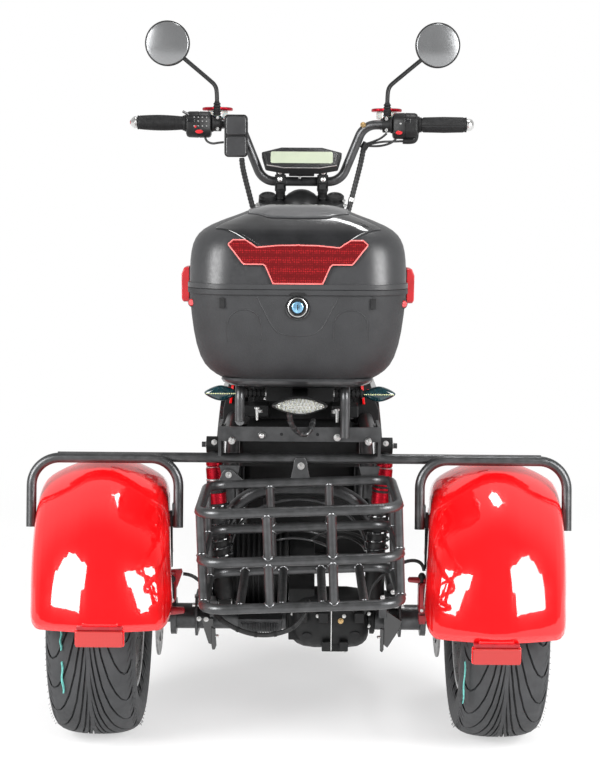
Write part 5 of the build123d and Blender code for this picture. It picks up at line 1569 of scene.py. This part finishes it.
# shocks: red knob, red cylinder with a silver ring, knurled collar, coil and black canister
reds, rings, darks, coils = [], [], [], []
for side in (left, right):
    low = at(side * 134, -44, axleWords["shockLow"])
    high = at(side * 158.5, -30, axleWords["shockHigh"])
    length = (high - low).length / mm
    rise = axleWords["shockHigh"] - axleWords["shockLow"]
    way = (high - low).normalized()

    def along(height):
        return low + way * ((height - axleWords["shockLow"]) / rise * length * mm)

    def sleeve(z0, z1, radius, sides=28, lip=1.2):
        span = (z1 - z0) / rise * length
        return turned(((0, radius - lip), (lip, radius), (span - lip, radius), (span, radius - lip)),
            along(z0), way, sides)

    reds += [sleeve(505, 519, 15, 28, 3), sleeve(483, 503, 16), sleeve(436, 458, 17.5, 18, 2)]
    rings += [sleeve(479, 483, 17), sleeve(503, 505.5, 15.5)]
    darks += [sleeve(519, 534, 11), sleeve(262, 479, 16.5), sleeve(322, 330, 20), sleeve(250, 262, 12)]
    for eye in (low, high):
        darks.append(turned(((-11, 15), (11, 15)), eye, (1, 0, 0), 28))
        rings.append(turned(((-12.5, 6), (12.5, 6)), eye, (1, 0, 0), 18))
    if side > 0:
        for k in range(5):
            reds.append(sleeve(440 + k * 8, 444 + k * 8, 18.4, 28, 0.8))
    spiral = []
    sideAxis, upAxis, _ = axesFor(way)
    steps = axleWords["coilTurns"] * 18
    for k in range(steps + 1):
        a = 2 * pi * k / 18
        spiral.append(along(axleWords["coilLow"] + (axleWords["coilHigh"] - axleWords["coilLow"]) * k / steps)
            + (sideAxis * cos(a) + upAxis * sin(a)) * axleWords["coilRadius"] * mm)
    coils.append(tube(spiral, axleWords["coilWire"], 8))
shell = piece("shock_reds", reds, "redAnodised", sharp=30)
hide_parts("rear_shocks")
piece("shock_rings", rings, "steel")
piece("shock_bodies", darks, "castBlack")
piece("shock_coils", coils, "glossBlack")

# motor: a ribbed drum with an end cap and cooling fins
profile = [(-142, 30), (-142, 56), (-139, 59), (-132, 62), (-132, 74), (-126, 80)]
for k in range(axleWords["motorFins"]):
    x = -124 + k * (100 / (axleWords["motorFins"] - 1))
    profile += [(x - 2.2, 79), (x - 1.4, 85.5), (x + 1.4, 85.5), (x + 2.2, 79)]
profile += [(-19, 78), (-19, 0)]
motorY, motorZ = axleWords["motorY"], axleWords["motorZ"]
motorShell = piece("motor_drum", turned(profile, at(0, motorY, motorZ), (1, 0, 0), 80), "castBlack", sharp=28)
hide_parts("motor")
ribs = [block((-110, -64, 204), (-30, 40, 228)), block((-100, -30, 198), (-40, 30, 216))]
for k in range(15):
    ribs.append(block((-104 + k * 4.6, -72, 211 - 9 * sin(pi * (k + 1.5) / 19)), (-102 + k * 4.6, 30, 222)))
piece("motor_ribs", ribs, "blackTube", slot="cast_black", bevel=0.5, steps=1)
endBolts = [capScrew(at(-142, motorY + 46 * cos(a), motorZ + 46 * sin(a)), (-1, 0, 0), 9)
    for a in (radians(30 + 60 * k) for k in range(6))]
piece("motor_screws", endBolts, "steel")

# differential: a smooth bowl with two square blocks, oval pockets, bolts and a lower block
bowl = turned(((-73, 24), (-73, 34), (-70, 42), (-62, 49), (-50, 54), (-30, 56.5), (30, 56.5), (50, 54),
    (60, 49), (67, 42), (70, 34), (70, 24)), at(60, 0, axleZ), (1, 0, 0), 72)
case = slab(((-40, -34), (60, -34), (150, 20), (150, 118), (70, 140), (-30, 60)), at(30, 0, axleZ),
    yAxis, zAxis, -48)
blocks = [block((x - 9, -64, 222), (x + 9, -48, 240)) for x in (8, 46, 112)]
blocks += [block((44, -36, 160), (92, 24, 176)), block((44, -56, 166), (60, -30, 184)),
    block((76, -56, 166), (92, -30, 184))]
shell = piece("diff_bowl", joined(bowl, case), "castBlack", bevel=1.6, sharp=30)
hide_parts("differential")
piece("diff_blocks", blocks, "blackPlastic", slot="cast_black", bevel=1.4)
pockets = [slab(oval(9, 5.5), at(x, -51, z), xAxis, Vector((0, -0.35, 0.94)), 3)
    for x, z in ((16, 196), (104, 199))]
piece("diff_pockets", pockets, "rubber", slot="cast_black")
boltSpots = ((-10, -34, 230), (130, -34, 232), (-10, -34, 206), (130, -34, 209), (36, -57, 233),
    (84, -57, 233))
diffBolts = [hexHead(at(*spot), (0, -1, 0), 5) for spot in boltSpots]
diffBolts.append(hexHead(at(84, -40, 166), (0, -0.5, -1), 8))
for k in range(10):
    a = radians(18 + 36 * k)
    diffBolts.append(hexHead(at(68.4, 44 * cos(a), axleZ + 44 * sin(a)), (1, 0, 0), 5))
piece("diff_bolts", diffBolts, "steel")
piece("diff_fill", hexHead(at(78, -57, 224), (0, -1, 0), 7), "brass", slot="steel")
piece("diff_rod", rod(at(60.5, -70, 172), at(60.5, -70, 251), 0.9, 8), "steel")
flanges = [turned(((0, 25), (0, 31), (7, 31), (9, 28), (9, 23)), at(x, 0, axleZ), (side, 0, 0), 40)
    for side, x in ((left, -14), (right, 133))]
piece("diff_flanges", flanges, "castBlack")

# plates that face rearwards at each end of the motor and the axle, with their bolts
plates, thin, plateBolts = [], [], []
plateOutlines = (
    (left, ((-177, 229), (-155, 227), (-158, 178), (-164, 180), (-176, 218)),
        ((-159, 212), (-151, 210), (-149, 178), (-152, 170), (-157, 170), (-159, 182))),
    (right, ((157, 237), (160, 245), (190, 225), (187, 211), (164, 174), (157, 180)),
        ((150, 213), (157, 211), (157, 172), (154, 167), (150, 170))))
for side, outline, slim in plateOutlines:
    plates.append(plate(outline, at(0, -58, 0), -5))
    thin.append(plate(slim, at(0, -64, 0), -5))
    plateBolts.append(turned(((0, 2.6), (5, 2.6), (5.6, 0)), at(side * 150, -62, 196), (-side, -0.3, 0), 12))
for x, y, z in ((-181, -64, 228), (-168, -64, 227), (173, -58, 279), (154, -58, 269)):
    plateBolts.append(hexHead(at(x, y, z), (0, -1, 0), 6))

# trailing arms, their pivot and the clamps on the axle
arms = []
for side in (left, right):
    route = [at(side * 175, 10, 269), at(side * 175, 120, 269), at(side * 175, 340, 250)]
    arms.append(tube(bentPath(route, 60), axleWords["armRadius"], 20))
    for x in (161, 185):
        arms.append(slab(((-42, 20), (-30, 44), (30, 44), (46, 20), (46, -16), (30, -34), (-30, -30),
            (-42, -16)), at(side * x if side > 0 else -x - 5, 0, axleZ), yAxis, zAxis, 5))
    arms.append(sideBlock(side, (161, -20, 255), (190, 24, 261)))
    arms.append(sideBlock(side, (147, -62, 231), (162, -22, 261)))
    for y in (-32, 32):
        plateBolts.append(rod(at(side * 158, y, 246), at(side * 195, y, 246), 4, 12))
arms.append(rod(at(-175, 340, 250), at(175, 340, 250), 12, 24))
arms.append(rod(at(-155, -66, 246), at(-155, -60, 246), 7, 16))
shell = piece("swing_arms", arms, "blackTube", bevel=1)
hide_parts("swing_frame")
piece("axle_plates", plates + thin, "glossBlack", slot="cast_black", bevel=1.2)
piece("axle_plateBolts", plateBolts, "steel")

# a splash panel hangs ahead of the motor, with thin leads across it
panel = [block((-70, 196, 292), (134, 200, 404)), block((134, 150, 330), (138, 200, 404)),
    block((-40, 168, 262), (60, 190, 300))]
piece("splash_panel", panel, "blackPlastic", bevel=2, steps=3)
panelLeads = (((-60, 60, 344), (-40, 30, 372), (0, 20, 378), (48, 28, 366), (66, 50, 350)),
    ((20, 40, 352), (46, 24, 374), (84, 18, 376), (124, 30, 362), (130, 60, 340)),
    ((-72, 70, 330), (-52, 34, 352), (-10, 26, 362), (40, 30, 352), (58, 60, 336)),
    ((60, 40, 345), (70, 26, 366), (100, 22, 362), (122, 36, 344), (126, 60, 330)))
for number, route in enumerate(panelLeads):
    cable("panel_lead_" + "abcd"[number], route, 2.4, "frame", "cableSleeve" if number % 2 else "glossyGrey")

# the hoop over the motor, with a thinner one inside it
hoopX, bend, rise = axleWords["hoopX"], axleWords["hoopBend"], axleWords["hoopRise"]
hoopPath = [at(-hoopX, 12, 246), at(-hoopX, 12, rise)]
for k in range(1, 13):
    a = radians(180 - 90 * k / 12)
    hoopPath.append(at(bend - hoopX + bend * cos(a), 12, rise + bend * sin(a)))
hoopPath += [Vector((-p.x, p.y, p.z)) for p in reversed(hoopPath)]
hoop = piece("motor_hoopTube", tube(hoopPath, axleWords["hoopRadius"], 24), "blackTube")
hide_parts("motor_hoop")
innerPath = [at(126 * cos(a), 16, 340 + 96 * sin(a)) for a in (radians(180 - 7.5 * k) for k in range(25))]
piece("motor_hoopWire", tube(innerPath, 3.2, 12), "blackTube")

# the basket hangs a little askew: rings, posts, welds, lugs and bolts
basket = {"lean": 2.3, "levels": (485, 403, 325), "halfWide": 165, "ahead": -80, "behind": -350,
    "postX": 53, "ring": 8.5, "wire": 7.7, "bend": 38}
lean, basketTop = radians(basket["lean"]), basket["levels"][0]


def askew(x, y, z):
    up = z - basketTop
    return at(x * cos(lean) - up * sin(lean), y, basketTop + x * sin(lean) + up * cos(lean))


def ringPath(level):
    # a rectangle with rolled corners, as a closed loop
    middle, half = (basket["ahead"] + basket["behind"]) / 2, (basket["ahead"] - basket["behind"]) / 2
    return [askew(x, y + middle, level)
        for x, y in roundedOutline(basket["halfWide"], half, basket["bend"], 7)]


wires, beads = [], []
tilt = Matrix.Rotation(-lean, 3, "Y")
levels, wire = basket["levels"], basket["wire"]
for level in levels:
    loop = ringPath(level)
    points, faces = tube(loop, basket["ring"], 18, False)
    last = (len(loop) - 1) * 18
    faces = faces + [(last + k, last + (k + 1) % 18, (k + 1) % 18, k) for k in range(18)]
    wires.append((points, faces))
basketEnds = (basket["behind"], basket["ahead"])
posts = [(side * basket["postX"], y) for side in (left, right) for y in basketEnds]
posts += [(side * basket["halfWide"], y) for side in (left, right) for y in (-305, -125)]
for x, y in posts:
    for high, low in zip(levels, levels[1:]):
        wires.append(rod(askew(x, y, low), askew(x, y, high), wire, 18))
    main = xAxis if abs(x) < 100 else yAxis
    for level in levels:
        for sign in (-1, 1):
            if (level, sign) not in ((levels[0], 1), (levels[-1], -1)):
                beads.append(weldRing(askew(x, y, level), tilt @ Vector((0, 0, sign)), tilt @ main, 7.8,
                    8.6, 1.9))
for x in (-103, -34, 34, 103):
    wires.append(rod(*(askew(x, y, levels[-1]) for y in basketEnds), wire, 18))
    for y, sign in zip(basketEnds, (1, -1)):
        beads.append(weldRing(askew(x, y, levels[-1]), Vector((0, sign, 0)), tilt @ xAxis, 7.8, 8.6, 1.7))
shell = piece("basket_wires", wires, "blackTube", sharp=60)
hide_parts("basket")
piece("basket_welds", beads, "weldSkin", slot="black_tube")
lugShapes = [plate([(x + 2, z) for x, z in ((-20, 484), (-18, 490), (-13, 512), (-11.5, 524), (-7, 530),
    (7, 530), (11.5, 524), (13, 512), (18, 490), (20, 484))], at(0, -76, 0), 6)]
lugShapes += [block((-18, -82, 484), (22, -70, 490)),
    plate(((-144, 514), (-107, 514), (-112, 486), (-138, 486)), at(0, -70, 0), 5),
    plate(((-145, 484), (-139, 502), (-133, 508), (-124, 508), (-116, 502), (-95, 484)), at(0, -78, 0), 5),
    plate(((107, 514), (146, 514), (140, 490), (112, 494)), at(0, -70, 0), 5)]
piece("basket_lugs", lugShapes, "blackTube", bevel=1)
lugBolts = [hexHead(at(3, -82, 515), (0, -1, 0), 9), hexHead(at(-127, -83, 498), (0, -1, 0), 8)]
piece("basket_bolts", lugBolts, "steel")

# hoses and leads behind the axle
first = cable("hose_left", ((-209.8, -66, 312), (-196, -66, 311), (-181, -62, 299), (-176, -44, 287),
    (-175, -18, 285), (-173, 20, 285.5)), 3.2, "frame")
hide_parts("rear_cables")
cable("hose_right", ((228, -70, 322.2), (226, -70, 336), (206, -70, 343), (176, -74, 333),
    (148, -78, 312), (131, -78, 290), (128, -74, 264), (122, -60, 243), (116, -44, 228)), 3.2, "frame")
motorLoop = ((-155, -67.6, 246), (-153, -84, 243), (-132, -96, 229), (-104, -98, 215), (-72, -98, 207),
    (-38, -97, 209), (-8, -97, 221), (10, -92, 240), (18, -78, 258), (18, -59.2, 261.5))
cable("motor_loop", motorLoop, 4.5, "frame")
lampLead = ((-18, -171, 631.7), (-18, -166, 607), (-6, -138, 586), (10, -124, 575), (22, -118, 590),
    (24, -96, 600))
cable("lamp_lead", lampLead, 4.5, "frame")
wraps("lamp_leadWraps", lampLead, 4.5, 13, 4, "glossyGrey", "frame")
wraps("motor_loopWraps", motorLoop, 4.5, 34, 5, "rubber", "frame")

# rubber pads between the guard's legs and the fenders
pads = [sideBlock(side, (222, -92, 404), (234, -76, 432)) for side in (left, right)]
piece("guard_pads", pads, "rubber", bevel=3)
stays = [rod(at(side * 234, -84, 322), at(side * 234, -84, 406), 2.8, 16) for side in (left, right)]
piece("fender_stays", stays, "blackTube")

# reflectors on the fenders' tails
faces, backs, strips = [], [], []
for side, foot, out in ((left, 238, 279.6), (right, 214, 283.2)):
    faces.append(plate(roundedOutline(40, 13.5, 3), at(side * 336, -out - 8, foot + 13.5), 7))
    backs.append(plate(roundedOutline(42, 15.5, 4), at(side * 336, -out - 4, foot + 13.5), -4))
    strips.append(block((side * 336 - 39, -out - 9, foot + 27.5), (side * 336 + 39, -out + 4, foot + 34)))
    backs.append(block((side * 336 - 30, -out - 4, foot + 26), (side * 336 + 30, -out + 22, foot + 38)))
shell = piece("fender_reflectorFaces", faces, "paleReflector", slot="red_lens", bevel=1.5)
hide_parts("fender_reflectors")
piece("fender_reflectorStrips", strips, "deepRed", slot="red_lens", bevel=1)
piece("fender_reflectorBacks", backs, "redPaint", slot="red_lens", bevel=1)

# ---- seats ----

print("seats")
seatWords = {"piping": 2.6, "channels": 4, "voxel": 6, "pressure": 4, "frames": 20, "waist": 0.03,
    "cap": 7, "fill": 0.75}


def cushion(name, node, low, high, corner):
    # a crowned pad with round corners, puffed by a short cloth simulation
    x0, y0, z0 = low
    x1, y1, z1 = high
    halfX, halfY = (x1 - x0) / 2, (y1 - y0) / 2
    midX, midY = (x0 + x1) / 2, (y0 + y1) / 2
    rings = []
    tall = z1 - z0
    for level, share in ((0, 0.93), (0.06, 0.97), (0.3, 1.0), (0.62, 1.0), (0.8, 0.985), (0.9, 0.94),
            (0.96, 0.85)):
        ring = []
        for x, y in roundedOutline(halfX, halfY, corner, 8):
            pull = 1 - seatWords["waist"] * (abs(y) / halfY) ** 2
            ring.append(at(midX + x * share * pull, midY + y * share, z0 + tall * level))
        rings.append(ring)
    top = []
    for share, rise in ((0.7, 0.985), (0.5, 1.0), (0.3, 1.0), (0.1, 1.0)):
        top.append([at(midX + x * share, midY + y * share, z0 + tall * rise)
            for x, y in roundedOutline(halfX, halfY, corner, 8)])
    pad = piece(name, skin(rings + top), "saddle", sharp=80)
    scene = bpy.context.scene
    remesh = pad.modifiers.new("even", "REMESH")
    remesh.mode = "VOXEL"
    remesh.voxel_size = seatWords["voxel"] * mm
    bpy.context.view_layer.update()
    even = bpy.data.meshes.new_from_object(pad.evaluated_get(bpy.context.evaluated_depsgraph_get()))
    pad.modifiers.remove(remesh)
    pad.data = even
    start = [v.co.copy() for v in even.vertices]
    bound = pad.vertex_groups.new(name="rests")
    lowest = min(v.z for v in start)
    bound.add([i for i, v in enumerate(start) if v.z < lowest + 0.012], 1.0, "REPLACE")
    cloth = pad.modifiers.new("fill", "CLOTH")
    cloth.settings.use_pressure = True
    cloth.settings.uniform_pressure_force = seatWords["pressure"]
    cloth.settings.effector_weights.gravity = 0
    cloth.settings.vertex_group_mass = "rests"
    cloth.point_cache.frame_start, cloth.point_cache.frame_end = 1, seatWords["frames"]
    for step in range(1, seatWords["frames"] + 1):
        scene.frame_set(step)
    puffed = bpy.data.meshes.new_from_object(pad.evaluated_get(bpy.context.evaluated_depsgraph_get()))
    pad.modifiers.remove(cloth)
    for spot, v in zip(start, puffed.vertices):
        moved = v.co - spot
        if moved.length > seatWords["cap"] * mm:
            v.co = spot + moved.normalized() * seatWords["cap"] * mm
        v.co.x = min(max(v.co.x, x0 * mm - 0.004), x1 * mm + 0.004)
        v.co.z = min(v.co.z, z1 * mm + 0.006)
    pad.data = puffed
    scene.frame_set(1)
    for face in puffed.polygons:
        face.use_smooth = True
    smooth = pad.modifiers.new("rounding", "SUBSURF")
    smooth.levels = smooth.render_levels = 1
    # sewn channels across the top
    for point in pad.data.vertices:
        over = (point.co.z / mm - z0) / tall
        if over > 0.9:
            along = (point.co.y - at(0, y0, 0).y) / ((y1 - y0) * mm)
            inside = min(1.0, max(0.0, (1 - abs(point.co.x) / (halfX * mm)) * 4))
            dip = 0.0
            for k in range(1, seatWords["channels"] + 1):
                dip = max(dip, 1 - abs(along - k / (seatWords["channels"] + 1)) * (y1 - y0) / 7)
            point.co.z -= max(dip, 0) * inside * 0.003
    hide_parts(node)
    return pad, midX, midY, halfX, halfY


def hugged(skinTree, ring, gap):
    # a closed line that lies on a pad's skin, with a point at least every gap
    line = []
    for here, there in zip(ring, ring[1:] + ring[:1]):
        count = max(1, ceil((there - here).length / (gap * mm)))
        line += [skinTree.find_nearest(here.lerp(there, k / count))[0] for k in range(count)]
    return line + line[:2]


seams = []
for name, node, low, high, corner in (("driver_cushion", "driver_seat", (-146, 458, 624),
        (146, 764, 700), 60), ("passenger_cushion", "passenger_seat", (-129, 211, 646), (129, 443, 712), 46)):
    pad, midX, midY, halfX, halfY = cushion(name, node, low, high, corner)
    skinTree = BVHTree.FromPolygons([v.co for v in pad.data.vertices],
        [tuple(f.vertices) for f in pad.data.polygons])
    for level, share in ((0.84, 0.995), (0.12, 0.985)):
        ring = [at(midX + x * share * (1 - seatWords["waist"] * (abs(y) / halfY) ** 2), midY + y * share,
            low[2] + (high[2] - low[2]) * level) for x, y in roundedOutline(halfX + 3.5, halfY + 3.5,
            corner, 8)]
        seams.append(tube(hugged(skinTree, ring, 9), seatWords["piping"], 8, False))
piece("seat_piping", seams, "saddle")
